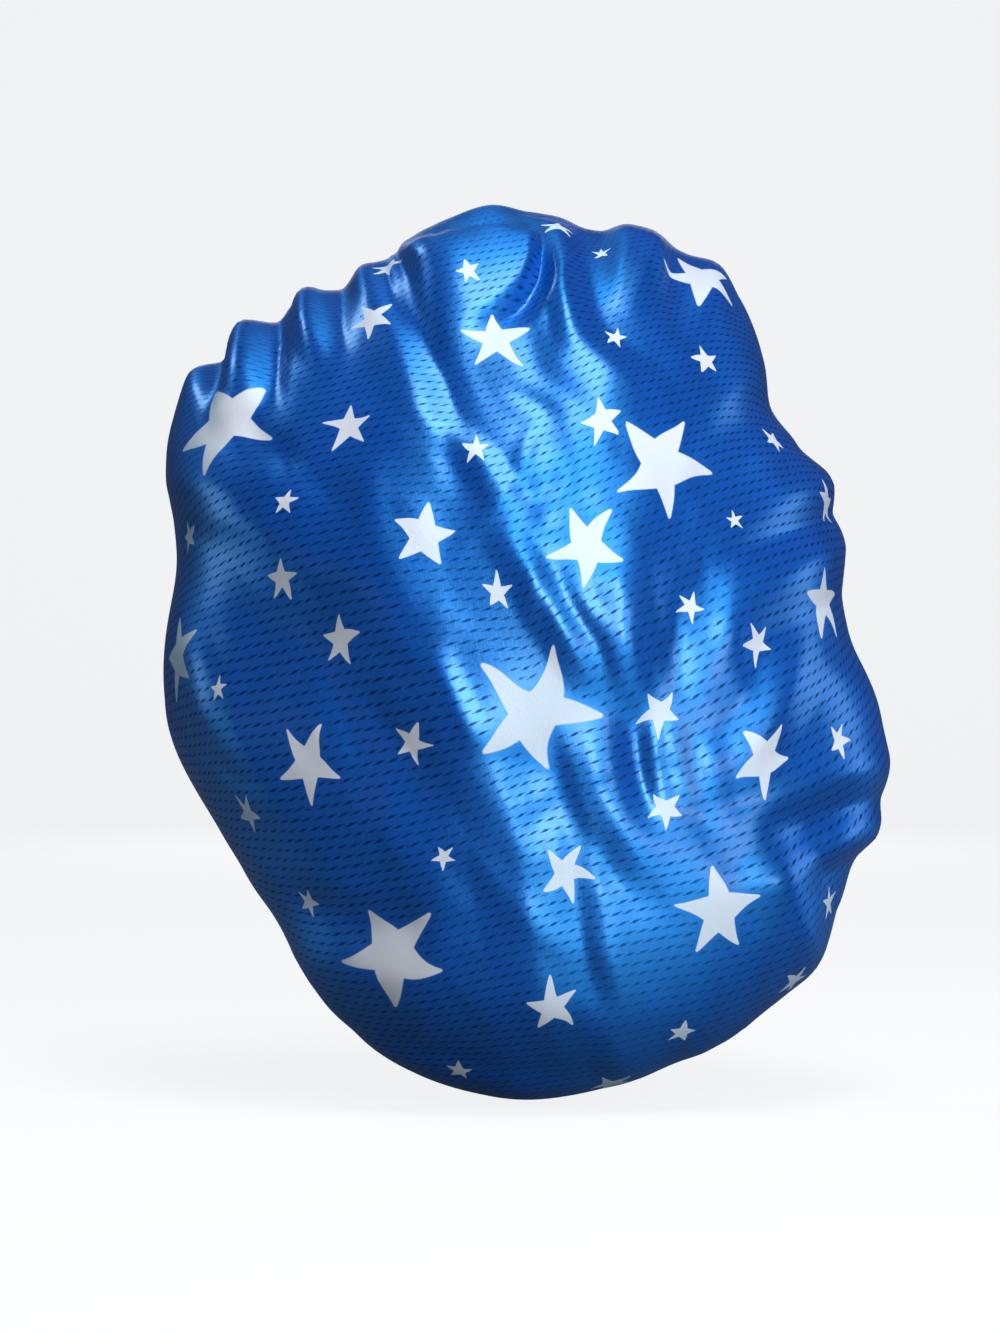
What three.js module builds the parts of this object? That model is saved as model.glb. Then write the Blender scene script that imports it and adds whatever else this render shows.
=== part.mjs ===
// A satin hair bonnet in the shape it takes when worn: a round printed bag with a plain lining,
// gathered into a folded band that holds a loop of woven elastic.
// Millimetres, +Z up, +Y towards the face. The origin is the centre of the elastic loop.
import * as THREE from "three";

// Head opening, measured at the middle of the elastic.
const OPENING_LENGTH = 196; // forehead to nape
const OPENING_WIDTH = 158; // ear to ear
const OPENING_TILT = 44; // degrees that the loop climbs from nape to forehead

// Bag, as seen from behind.
const BAG_WIDTH = 314;
const BAG_HEIGHT = 386;
const BAG_MIDDLE_Z = -33; // the bag hangs lower than the opening
const CROWN_Y = -185; // furthest point behind the opening
const CROWN_Z = -45;
const OUTLINE_TOP_Y = 5; // the outline leans back from the top to the bottom
const OUTLINE_BOTTOM_Y = -116;
const BACK_FULLNESS = 2.4; // 2 is an ellipse, more is a fuller back
const FRONT_FULLNESS = 46; // how far the cloth runs forward of the outline
const PUFF_OUT = 36; // how the cloth leaves the band: outwards
const FOREHEAD_PUFF_UP = 25; // and into the bag, at the forehead
const NAPE_PUFF_UP = -4; // at the nape it turns down, and the bag hangs below the band

// Cloth, elastic and thread.
const SATIN_THICKNESS = 0.5;
const LAYER_GAP = 0.4; // air between two layers of cloth
const CLEARANCE = 0.3; // between a thread and the cloth that it lies on
const THREAD_DIAMETER = 0.4;
const ELASTIC_WIDTH = 20;
const ELASTIC_THICKNESS = 1.2;
const ELASTIC_RIBS = 4;
const RIB_DEPTH = 0.2;
const ELASTIC_OVERLAP = 24; // the loop's two ends lie over each other at the nape
const SEAM_ALLOWANCE = 7; // bag cloth caught inside the band
const MOUTH_LEAD = 1.5; // the bag cloth leaves the band straight before it puffs out
const BAND_RIPPLE = 0.9; // height of the small puckers round the band
const STITCH_INSET = 2; // topstitching, from the band's mouth
const BARTACK_INSET = 3; // zigzag stitching, from the edges of the elastic's overlap
const BARTACK_LEGS = 8;

// Facets.
const BAG_COLUMNS = 52;
const FRONT_ROWS = 5;
const BACK_ROWS = 9;
const ROW_CROWDING = 1.4; // over 1 crowds the rows towards the outline, where the bag turns most
const BAND_RIPPLES = 22;
const COLUMNS_PER_RIPPLE = 4;
const ELASTIC_STEPS = 60;
const THREAD_STEPS = 96;
const THREAD_SIDES = 4;
const BARTACK_STEPS = 60;
const FOLD_LINE_STEPS = 24;

// The outline seen from behind, clockwise from the top in equal turns, as shares of the ellipse of
// the bag's width and height.
const OUTLINE_SHARES = [
  0.995, 1.03, 0.985, 0.915, 0.9, 0.955, 1.01, 0.97, 0.97,
  0.97, 0.95, 0.925, 0.91, 0.955, 1.0, 1.1, 1.025, 0.995,
];

// The main folds that run over the outline. Each has its turn from the top in degrees, its height
// (below zero for a valley), its half width in degrees, and how far it reaches down the back.
const MAIN_FOLDS = [
  { turn: 10, height: -4, spread: 8, reach: 0.5 },
  { turn: 36, height: 5, spread: 11, reach: 0.5 },
  { turn: 53, height: -9, spread: 10, reach: 0.55 },
  { turn: 68, height: 7, spread: 11, reach: 0.55 },
  { turn: 81, height: -5, spread: 8, reach: 0.45 },
  { turn: 108, height: 10, spread: 11, reach: 0.5 },
  { turn: 119, height: -6, spread: 8, reach: 0.35 },
  { turn: 131, height: 5, spread: 10, reach: 0.4 },
  { turn: 206, height: 3, spread: 10, reach: 0.35 },
  { turn: 224, height: -5, spread: 10, reach: 0.45 },
  { turn: 263, height: 6, spread: 10, reach: 0.5 },
  { turn: 282, height: -4, spread: 11, reach: 0.45 },
  { turn: 302, height: 5, spread: 10, reach: 0.55 },
  { turn: 321, height: 3, spread: 8, reach: 0.55 },
  { turn: 333, height: -6, spread: 8, reach: 0.65 },
  { turn: 345, height: 6, spread: 8, reach: 0.75 },
  { turn: 358, height: 5, spread: 8, reach: 0.65 },
];

// The point behind the bag that the folds of the back are seen from, and the plane they are measured in.
const VIEW_POINT = new THREE.Vector3(-10.9, -2056, -37.8);
const OUTLINE_PLANE_Y = -56;
const FLANK_POWER = 1.2; // over 1 lets a flank run out softly
const BACK_START = 0.75; // the back's folds begin just in front of the outline
const BACK_FADE = 0.75; // their share where the cloth faces sideways
const BACK_FADE_SPAN = 0.5;
const FOLD_CREST = 0.25; // rounded share of a fold's narrower flank, where the list gives none
const FOLD_ENDS = 0.42; // share of a fold's line over which it runs out at each end, likewise

// The main folds of the back, each along a line of x and z from its lower or left end. Left and right
// are the widths of its flanks, looking along the line.
const BACK_FOLDS = [
  // the long edge left of the middle, and the main ridge right of it
  {
    line: [
      [6, -166], [-13, -129], [-24, -106], [-30, -80], [-36, -55],
      [-56, -6], [-63, 20], [-63, 50], [-54, 94],
    ],
    height: 13, left: 40, right: 90, crest: 0.15,
  },
  {
    line: [[34, -70], [14, -16], [-4, 24], [-7, 60], [8, 104]],
    height: 7, left: 110, right: 46, crest: 0.15,
  },
  // the stripe that runs down from the upper left, the dome at the top, and the ridge right of them
  { line: [[-28, 30], [-50, 84], [-70, 150]], height: 3.5, left: 34, right: 15 },
  { line: [[-62, 126], [-18, 143], [26, 145]], height: 10, left: 14, right: 46, crest: 0.4, ends: 0.26 },
  { line: [[64, 68], [34, 90], [20, 106], [14, 134]], height: 5, left: 44, right: 16 },
  // the soft band across the left
  { line: [[-70, -26], [-112, 28], [-165, 66]], height: 6, left: 26, right: 26 },
  // the edge right of the middle, and the fold that climbs to the right
  { line: [[50, -64], [48, -28], [47, 4], [46, 34]], height: 4.5, left: 40, right: 18 },
  { line: [[52, -66], [45, -12], [41, 40], [46, 108]], height: 7, left: 76, right: 34 },
  {
    line: [[74, -72], [81, -44], [85, -26], [98, -8], [120, 6], [165, 32]],
    height: 5, left: 22, right: 20,
  },
  // the ridges below the middle, and the roll over the bottom
  {
    line: [[14, -205], [6, -161], [1, -133], [-2, -112], [-8, -91], [-18, -68], [-36, -32]],
    height: 4.4, left: 22, right: 90, crest: 0.2, ends: 0.3,
  },
  { line: [[126, -184], [110, -142], [96, -92]], height: 11, left: 52, right: 24 },
  {
    line: [[-120, -146], [0, -178], [80, -178], [136, -158]],
    height: 12, left: 96, right: 36, crest: 0.4, ends: 0.3,
  },
  // the folds that slant down the lower left
  {
    line: [[-20, -154], [-62, -102], [-92, -58], [-98, -8]],
    height: 5.5, left: 24, right: 28,
  },
  {
    line: [[-50, -150], [-104, -92], [-130, -50], [-165, 10]],
    height: 5.5, left: 24, right: 26,
  },
];

// Gathers between the band and the outline.
const GATHERS = 13;
const GATHER_HEIGHT = 4;

const TURN = 2 * Math.PI;
const NAPE = Math.PI;
const tilt = THREE.MathUtils.degToRad(OPENING_TILT);
const X_AXIS = new THREE.Vector3(1, 0, 0);

// The band's section, from its fold to its mouth, stacks up from what lies in it.
const threadRadius = THREAD_DIAMETER / 2;
const bandHalfGap = ELASTIC_THICKNESS + LAYER_GAP / 2 + THREAD_DIAMETER + 2 * CLEARANCE;
const bandHalfThickness = bandHalfGap + SATIN_THICKNESS;
const foldCentre = -ELASTIC_WIDTH / 2 - LAYER_GAP;
const allowanceEnd = ELASTIC_WIDTH / 2 + LAYER_GAP;
const mouth = allowanceEnd + SEAM_ALLOWANCE;
const stitchLine = mouth - STITCH_INSET;

const smooth = (x) => THREE.MathUtils.smoothstep(x, 0, 1);

// A point of the band in the band's own frame: turn is clockwise from the forehead as seen from
// behind, outward is square to the loop in its plane, and inward is along the loop's axis, into the bag.
function bandPoint(turn, outward, inward) {
  const long = OPENING_LENGTH / 2;
  const wide = OPENING_WIDTH / 2;
  const ahead = Math.cos(turn);
  const aside = Math.sin(turn);
  const share = outward / Math.hypot(wide * ahead, long * aside);
  return new THREE.Vector3(
    aside * (wide + share * long),
    ahead * (long + share * wide),
    inward,
  );
}

const tilted = (point) => point.applyAxisAngle(X_AXIS, tilt);

// 0 at the forehead and 1 at the nape.
const napeShare = (turn) => (1 - Math.cos(turn)) / 2;

// The bag

const outline = new THREE.CatmullRomCurve3(
  OUTLINE_SHARES.map((share, i) => {
    const turn = (i / OUTLINE_SHARES.length) * TURN;
    return new THREE.Vector3(
      (share * BAG_WIDTH * Math.sin(turn)) / 2,
      THREE.MathUtils.lerp(OUTLINE_TOP_Y, OUTLINE_BOTTOM_Y, napeShare(turn)),
      BAG_MIDDLE_Z + (share * BAG_HEIGHT * Math.cos(turn)) / 2,
    );
  }),
  true,
  "catmullrom",
  0.5,
);
const crown = new THREE.Vector3(0, CROWN_Y, CROWN_Z);
const outlineAt = (turn) => outline.getPoint(THREE.MathUtils.euclideanModulo(turn / TURN, 1));

// From the band, along 0, to the outline, along 1.
function frontPoint(turn, along) {
  const rim = outlineAt(turn);
  const start = mouth + MOUTH_LEAD;
  const puffUp = THREE.MathUtils.lerp(FOREHEAD_PUFF_UP, NAPE_PUFF_UP, napeShare(turn));
  return new THREE.CubicBezierCurve3(
    tilted(bandPoint(turn, 0, start)),
    tilted(bandPoint(turn, PUFF_OUT, start + puffUp)),
    rim.clone().add(new THREE.Vector3(0, FRONT_FULLNESS, 0)),
    rim,
  ).getPoint(along);
}

// From the outline, along 1, to the crown, along 2.
function backPoint(turn, along) {
  const rim = outlineAt(turn);
  const angle = ((along - 1) * Math.PI) / 2;
  const power = 2 / BACK_FULLNESS;
  const across = Math.max(Math.cos(angle), 0) ** power;
  const behind = Math.sin(angle) ** power;
  return new THREE.Vector3(
    THREE.MathUtils.lerp(crown.x, rim.x, across),
    THREE.MathUtils.lerp(rim.y, crown.y, behind),
    THREE.MathUtils.lerp(crown.z, rim.z, across),
  );
}

const smoothBag = (turn, along) => (along < 1 ? frontPoint(turn, along) : backPoint(turn, along));

// Height of the folds and gathers above the smooth bag.
function foldHeight(turn, along) {
  const degrees = THREE.MathUtils.radToDeg(turn);
  const rise = smooth(along / 0.7);
  let height = 0;
  for (const fold of MAIN_FOLDS) {
    const away = THREE.MathUtils.euclideanModulo(degrees - fold.turn + 180, 360) - 180;
    const ridge = smooth(1 - Math.abs(away) / (2 * fold.spread));
    height += fold.height * ridge * rise * smooth((1 + fold.reach - along) / fold.reach);
  }
  const gather = Math.sin(Math.PI * THREE.MathUtils.clamp(along, 0, 1));
  return height + GATHER_HEIGHT * gather * Math.cos(GATHERS * turn);
}

// The unit normal of a surface given by turn and along, pointing out of the bag.
function outOf(surface, turn, along) {
  const step = 0.002;
  const across = surface(turn + step, along).sub(surface(turn - step, along));
  const onward = surface(turn, along + step).sub(surface(turn, along - step));
  return onward.cross(across).normalize();
}

const foldedBag = (turn, along) =>
  smoothBag(turn, along).addScaledVector(outOf(smoothBag, turn, along), foldHeight(turn, along));

// Where a point is seen from behind, in the outline's plane.
function seenFromBehind(point) {
  const sight = point.clone().sub(VIEW_POINT);
  sight.multiplyScalar((OUTLINE_PLANE_Y - VIEW_POINT.y) / sight.y).add(VIEW_POINT);
  return new THREE.Vector2(sight.x, sight.z);
}

const foldLines = BACK_FOLDS.map(({ line }) =>
  new THREE.SplineCurve(line.map(([x, z]) => new THREE.Vector2(x, z))).getSpacedPoints(FOLD_LINE_STEPS),
);

// The nearest place on a line: how far away, on which side, and which share of the way along it.
function nearestOnLine(place, line) {
  const nearest = { distance: Infinity, onRight: false, share: 0 };
  for (let step = 0; step < FOLD_LINE_STEPS; step++) {
    const span = line[step + 1].clone().sub(line[step]);
    const away = place.clone().sub(line[step]);
    const part = THREE.MathUtils.clamp(away.dot(span) / span.lengthSq(), 0, 1);
    const onRight = span.cross(away) < 0;
    const distance = away.addScaledVector(span, -part).length();
    if (distance < nearest.distance) {
      Object.assign(nearest, { distance, onRight, share: (step + part) / FOLD_LINE_STEPS });
    }
  }
  return nearest;
}

// Height of the back's folds at a point: crests between nearly straight flanks, running out at both ends.
function backFoldHeight(point) {
  const place = seenFromBehind(point);
  let height = 0;
  BACK_FOLDS.forEach((fold, i) => {
    const { left, right, crest = FOLD_CREST, ends = FOLD_ENDS } = fold;
    const { distance, onRight, share } = nearestOnLine(place, foldLines[i]);
    const width = onRight ? right : left;
    const round = crest * Math.min(left, right);
    const run = (Math.hypot(distance, round) - round) / (Math.hypot(width, round) - round);
    const flank = Math.max(1 - run, 0) ** FLANK_POWER;
    height += fold.height * flank * smooth(share / ends) * smooth((1 - share) / ends);
  });
  return height;
}

// The bag with every fold. The back's folds fade where the cloth turns away from the back.
function wornBag(turn, along) {
  const point = foldedBag(turn, along);
  if (along < BACK_START) return point;
  const out = outOf(foldedBag, turn, along);
  return point.addScaledVector(out, backFoldHeight(point) * smooth(BACK_FADE - out.y / BACK_FADE_SPAN));
}

const wornCrown = crown.clone().sub(new THREE.Vector3(0, backFoldHeight(crown), 0));

// The rings of points of one face of a cloth layer, offset outwards from the worn bag's surface.
function bagRings(offset) {
  const turns = Array.from({ length: BAG_COLUMNS }, (_, i) => (i / BAG_COLUMNS) * TURN);
  const caught = [allowanceEnd, mouth + MOUTH_LEAD].map((inward) =>
    turns.map((turn) => tilted(bandPoint(turn, offset, inward))),
  );
  const alongs = [];
  for (let i = 1; i <= FRONT_ROWS; i++) alongs.push(1 - (1 - i / FRONT_ROWS) ** ROW_CROWDING);
  for (let i = 1; i < BACK_ROWS; i++) alongs.push(1 + (i / BACK_ROWS) ** ROW_CROWDING);
  const free = alongs.map((along) =>
    turns.map((turn) =>
      wornBag(turn, along).addScaledVector(outOf(wornBag, turn, along), offset),
    ),
  );
  return [...caught, ...free];
}

// A closed sheet of cloth between two faces of the bag, each closed at the crown.
function clothBag(outerOffset, innerOffset) {
  const points = [];
  const triangles = [];
  const layers = [outerOffset, innerOffset].map((offset) => {
    const first = points.length;
    const rings = bagRings(offset);
    rings.forEach((ring) => points.push(...ring));
    points.push(wornCrown.clone().add(new THREE.Vector3(0, -offset, 0)));
    return { first, rows: rings.length, tip: points.length - 1 };
  });
  layers.forEach(({ first, rows, tip }, layer) => {
    const at = (row, column) => first + row * BAG_COLUMNS + (column % BAG_COLUMNS);
    const face = layer === 0 ? (a, b, c) => [a, b, c] : (a, b, c) => [a, c, b];
    for (let column = 0; column < BAG_COLUMNS; column++) {
      for (let row = 0; row < rows - 1; row++) {
        triangles.push(...face(at(row, column), at(row + 1, column), at(row + 1, column + 1)));
        triangles.push(...face(at(row, column), at(row + 1, column + 1), at(row, column + 1)));
      }
      triangles.push(...face(at(rows - 1, column), tip, at(rows - 1, column + 1)));
    }
  });
  const [outer, inner] = layers;
  for (let column = 0; column < BAG_COLUMNS; column++) {
    const next = (column + 1) % BAG_COLUMNS;
    triangles.push(outer.first + column, outer.first + next, inner.first + next);
    triangles.push(outer.first + column, inner.first + next, inner.first + column);
  }
  return solidGeometry(points, triangles);
}

function solidGeometry(points, triangles) {
  return new THREE.BufferGeometry().setFromPoints(points).setIndex(triangles).toNonIndexed();
}

// The band and what lies in it, in the band's own frame

// Joins rings of section points into a loop that closes on itself, or into a strip with flat ends.
function sweptRings(rings, closed) {
  const sides = rings[0].length;
  const points = rings.flat();
  const triangles = [];
  const at = (ring, side) => (ring % rings.length) * sides + (side % sides);
  for (let ring = 0; ring < rings.length - (closed ? 0 : 1); ring++) {
    for (let side = 0; side < sides; side++) {
      const corners = [at(ring, side), at(ring + 1, side), at(ring + 1, side + 1), at(ring, side + 1)];
      triangles.push(corners[0], corners[1], corners[2], corners[0], corners[2], corners[3]);
    }
  }
  return { points, triangles };
}

// The height of the puckers round the band. The nape's seam lies in a hollow.
const ripple = (turn) => (BAND_RIPPLE * (1 - Math.cos(BAND_RIPPLES * (turn - NAPE)))) / 2;

// A strip of satin folded over the elastic, open where the bag's edge goes in.
function bandCasing() {
  const columns = BAND_RIPPLES * COLUMNS_PER_RIPPLE;
  const middle = (mouth + foldCentre) / 2;
  const rings = [];
  for (let i = 0; i < columns; i++) {
    const turn = (i / columns) * TURN;
    const swell = ripple(turn);
    const skin = (half, side) => [
      [side * half, mouth],
      [side * (half + swell), middle],
      [side * half, foldCentre],
    ];
    const outside = [...skin(bandHalfThickness, 1), [0, foldCentre - bandHalfThickness]];
    const outsideBack = skin(bandHalfThickness, -1).reverse();
    const inside = [...skin(bandHalfGap, -1), [0, foldCentre - bandHalfGap]];
    const insideBack = skin(bandHalfGap, 1).reverse();
    const section = [...outside, ...outsideBack, ...inside, ...insideBack];
    rings.push(section.map(([outward, inward]) => bandPoint(turn, outward, inward)));
  }
  const { points, triangles } = sweptRings(rings, true);
  return solidGeometry(points, triangles);
}

// Woven elastic, ribbed along its length. It spirals gently, so that its ends overlap at the nape.
function elasticBand() {
  const overlapTurn = ELASTIC_OVERLAP / (OPENING_WIDTH / 2);
  const shift = (ELASTIC_THICKNESS + LAYER_GAP) / 2;
  const stations = 2 * ELASTIC_RIBS;
  const rings = [];
  for (let i = 0; i <= ELASTIC_STEPS; i++) {
    const share = i / ELASTIC_STEPS;
    const turn = NAPE - overlapTurn / 2 + share * (TURN + overlapTurn);
    const lift = THREE.MathUtils.lerp(-shift, shift, share);
    const face = (side) =>
      Array.from({ length: stations + 1 }, (_, k) => {
        const groove = k % 2 === 0 ? RIB_DEPTH : 0;
        const inward = ELASTIC_WIDTH * (k / stations - 0.5) * side;
        return bandPoint(turn, lift + side * (ELASTIC_THICKNESS / 2 - groove), -inward);
      });
    rings.push([...face(1), ...face(-1)]);
  }
  const { points, triangles } = sweptRings(rings, false);
  const sides = rings[0].length;
  const last = ELASTIC_STEPS * sides;
  for (let k = 0; k < stations; k++) {
    const a = k;
    const b = k + 1;
    const c = sides - 2 - k;
    const d = sides - 1 - k;
    triangles.push(a, b, c, a, c, d);
    triangles.push(last + a, last + c, last + b, last + a, last + d, last + c);
  }
  return solidGeometry(points, triangles);
}

// A loop of thread that runs round the band at one place of its section.
function threadLoop(outwardAt, inward) {
  const rings = [];
  for (let i = 0; i < THREAD_STEPS; i++) {
    const turn = (i / THREAD_STEPS) * TURN;
    const ring = [];
    for (let side = 0; side < THREAD_SIDES; side++) {
      const angle = (-side / THREAD_SIDES) * TURN;
      const outward = outwardAt(turn) + threadRadius * Math.cos(angle);
      ring.push(bandPoint(turn, outward, inward + threadRadius * Math.sin(angle)));
    }
    rings.push(ring);
  }
  const { points, triangles } = sweptRings(rings, true);
  return solidGeometry(points, triangles);
}

// A thread along a line of points, with square ends.
function threadAlong(linePoints, steps) {
  const section = new THREE.Shape().absarc(0, 0, threadRadius, 0, TURN);
  const path = new THREE.CatmullRomCurve3(linePoints);
  return new THREE.ExtrudeGeometry(section, {
    steps,
    curveSegments: THREAD_SIDES,
    extrudePath: path,
    bevelEnabled: false,
  });
}

// Zigzag stitching that joins the elastic's overlapping ends.
function elasticBartack() {
  const overlapTurn = (ELASTIC_OVERLAP - 2 * BARTACK_INSET) / (OPENING_WIDTH / 2);
  const reach = ELASTIC_WIDTH / 2 - BARTACK_INSET;
  const outward = ELASTIC_THICKNESS + LAYER_GAP / 2 + CLEARANCE + threadRadius;
  const zigzag = Array.from({ length: BARTACK_LEGS + 1 }, (_, i) => {
    const turn = NAPE + overlapTurn * (i / BARTACK_LEGS - 0.5);
    return bandPoint(turn, outward, i % 2 === 0 ? reach : -reach);
  });
  return threadAlong(zigzag, BARTACK_STEPS);
}

// The row that closes the band's strip into a loop, across the band on its inner face.
function bandJoinStitch() {
  const outward = -(bandHalfThickness + CLEARANCE + threadRadius);
  const line = [stitchLine - STITCH_INSET, (stitchLine + foldCentre) / 2, foldCentre];
  return threadAlong(line.map((inward) => bandPoint(NAPE, outward, inward)), 6);
}

// Topstitching through band and bag: a needle thread outside and a bobbin thread inside.
function topstitchLoop(side) {
  const climb = (mouth - stitchLine) / ((mouth - foldCentre) / 2);
  const rest = bandHalfThickness + CLEARANCE + threadRadius;
  return threadLoop((turn) => side * (rest + climb * ripple(turn)), stitchLine);
}

// The running stitch that draws the bag's edge up, inside the band.
function gatheringThread() {
  const outward = LAYER_GAP / 2 + SATIN_THICKNESS + CLEARANCE + threadRadius;
  return threadLoop(() => outward, (allowanceEnd + mouth) / 2);
}

// Materials
const cloth = (color, roughness) => new THREE.MeshStandardMaterial({ color, roughness, metalness: 0 });
const printedSatin = cloth(0x1f5fc4, 0.35);
const plainSatin = cloth(0x16357f, 0.4);
const wovenElastic = cloth(0xe9e7e2, 0.8);
const blueThread = cloth(0x123a8c, 0.6);
const whiteThread = cloth(0xf1f1ee, 0.6);

function piece(name, geometry, material) {
  const mesh = new THREE.Mesh(geometry, material);
  mesh.name = name;
  return mesh;
}

const halfGap = LAYER_GAP / 2;
const bonnet = new THREE.Group();
bonnet.add(
  piece("outer_shell", clothBag(halfGap + SATIN_THICKNESS, halfGap), printedSatin),
  piece("lining", clothBag(-halfGap, -halfGap - SATIN_THICKNESS), plainSatin),
);

const band = new THREE.Group();
band.rotation.x = tilt;
band.add(
  piece("band_casing", bandCasing(), printedSatin),
  piece("elastic_band", elasticBand(), wovenElastic),
  piece("elastic_bartack", elasticBartack(), whiteThread),
  piece("gathering_thread", gatheringThread(), blueThread),
  piece("topstitch_needle_thread", topstitchLoop(1), blueThread),
  piece("topstitch_bobbin_thread", topstitchLoop(-1), blueThread),
  piece("band_join_stitch", bandJoinStitch(), blueThread),
);
bonnet.add(band);

export default bonnet;
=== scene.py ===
"""Dresses the frame of a satin hair bonnet: the printed bag with its folds, the plain lining, the ruched
band, the elastic inside it, the stitching, and a plain studio stage."""

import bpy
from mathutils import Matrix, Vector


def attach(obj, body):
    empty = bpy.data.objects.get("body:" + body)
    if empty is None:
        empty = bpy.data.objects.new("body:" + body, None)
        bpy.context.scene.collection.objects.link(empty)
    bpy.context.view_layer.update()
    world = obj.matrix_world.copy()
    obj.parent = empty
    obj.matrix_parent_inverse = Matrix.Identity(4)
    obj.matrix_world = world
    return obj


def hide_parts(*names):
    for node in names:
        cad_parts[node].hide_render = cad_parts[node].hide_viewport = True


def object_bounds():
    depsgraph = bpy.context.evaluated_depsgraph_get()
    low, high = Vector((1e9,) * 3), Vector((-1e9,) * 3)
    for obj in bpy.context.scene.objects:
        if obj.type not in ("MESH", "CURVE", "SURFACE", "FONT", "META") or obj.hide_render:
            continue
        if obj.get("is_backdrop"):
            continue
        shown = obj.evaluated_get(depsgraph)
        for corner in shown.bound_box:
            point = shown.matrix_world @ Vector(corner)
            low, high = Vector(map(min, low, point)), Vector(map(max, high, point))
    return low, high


bl_info = {
    "name": "Satin Hair Bonnet",
    "version": (1, 0, 0),
    "blender": (4, 5, 0),
    "location": "3D View > Sidebar > Bonnet",
    "description": "Models the cloth, elastic and thread of a star-print hair bonnet around its frame",
    "category": "Object",
}

import math
from typing import NamedTuple

import bpy
import numpy as np
from mathutils import Matrix, Vector

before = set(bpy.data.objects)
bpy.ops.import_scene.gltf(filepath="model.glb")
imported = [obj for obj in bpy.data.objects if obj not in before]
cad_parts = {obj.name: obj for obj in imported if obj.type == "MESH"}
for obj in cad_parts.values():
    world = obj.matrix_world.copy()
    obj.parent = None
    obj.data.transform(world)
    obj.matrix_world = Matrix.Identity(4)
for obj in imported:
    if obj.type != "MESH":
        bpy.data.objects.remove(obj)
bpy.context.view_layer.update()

MM = 0.001
TURN = 2 * math.pi
NAPE = math.pi
ROOT = "root"

# The bag, in millimetres. Turns run clockwise from the top, as seen from behind.
BAG_MIDDLE_Z = -33
CROWN = (0, -185, -45)
OUTLINE_TOP_Y = 5
OUTLINE_BOTTOM_Y = -116
BACK_FULLNESS = 2.4
FRONT_FULLNESS = 46
PUFF_OUT = 36
FOREHEAD_PUFF_UP = 25
NAPE_PUFF_UP = -4
MOUTH_LEAD = 1.5
SEAM_ALLOWANCE = 7
CLEARANCE = 0.3
LAYER_GAP = 0.4
STITCH_INSET = 2

OUTLINE_SHARES = (
    0.995, 1.03, 0.985, 0.915, 0.9, 0.955, 1.01, 0.97, 0.97,
    0.97, 0.95, 0.925, 0.91, 0.955, 1.0, 1.1, 1.025, 0.995,
)

# The viewing point that the lists of folds and stars are measured from, and the plane of the outline.
VIEW_POINT = (-10.9, -2056, -37.8)
OUTLINE_PLANE_Y = -56


class MainFold(NamedTuple):
    """A fold that runs over the outline, with its turn and half width in degrees."""

    turn: float
    height: float
    spread: float
    reach: float


MAIN_FOLDS = (
    MainFold(10, -4, 8, 0.5),
    MainFold(36, 5, 11, 0.5),
    MainFold(53, -9, 10, 0.55),
    MainFold(68, 7, 11, 0.55),
    MainFold(81, -5, 8, 0.45),
    MainFold(108, 10, 11, 0.5),
    MainFold(119, -6, 8, 0.35),
    MainFold(131, 5, 10, 0.4),
    MainFold(206, 3, 10, 0.35),
    MainFold(224, -5, 10, 0.45),
    MainFold(263, 6, 10, 0.5),
    MainFold(282, -4, 11, 0.45),
    MainFold(302, 5, 10, 0.55),
    MainFold(321, 3, 8, 0.55),
    MainFold(333, -6, 8, 0.65),
    MainFold(345, 6, 8, 0.75),
    MainFold(358, 5, 8, 0.65),
)


class Crease(NamedTuple):
    """A fold drawn on the back, along a line from its lower or left end to the other. Points are x and z in
    the outline's plane. Left and right are the widths of its flanks, looking along the line, round is the
    share of the narrower one that its crest takes up, and ends is the share of its length over which it
    runs out at each end. A valley has a height below zero."""

    line: tuple
    height: float
    left: float
    right: float
    round: float = 0.25
    ends: float = 0.42


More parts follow.
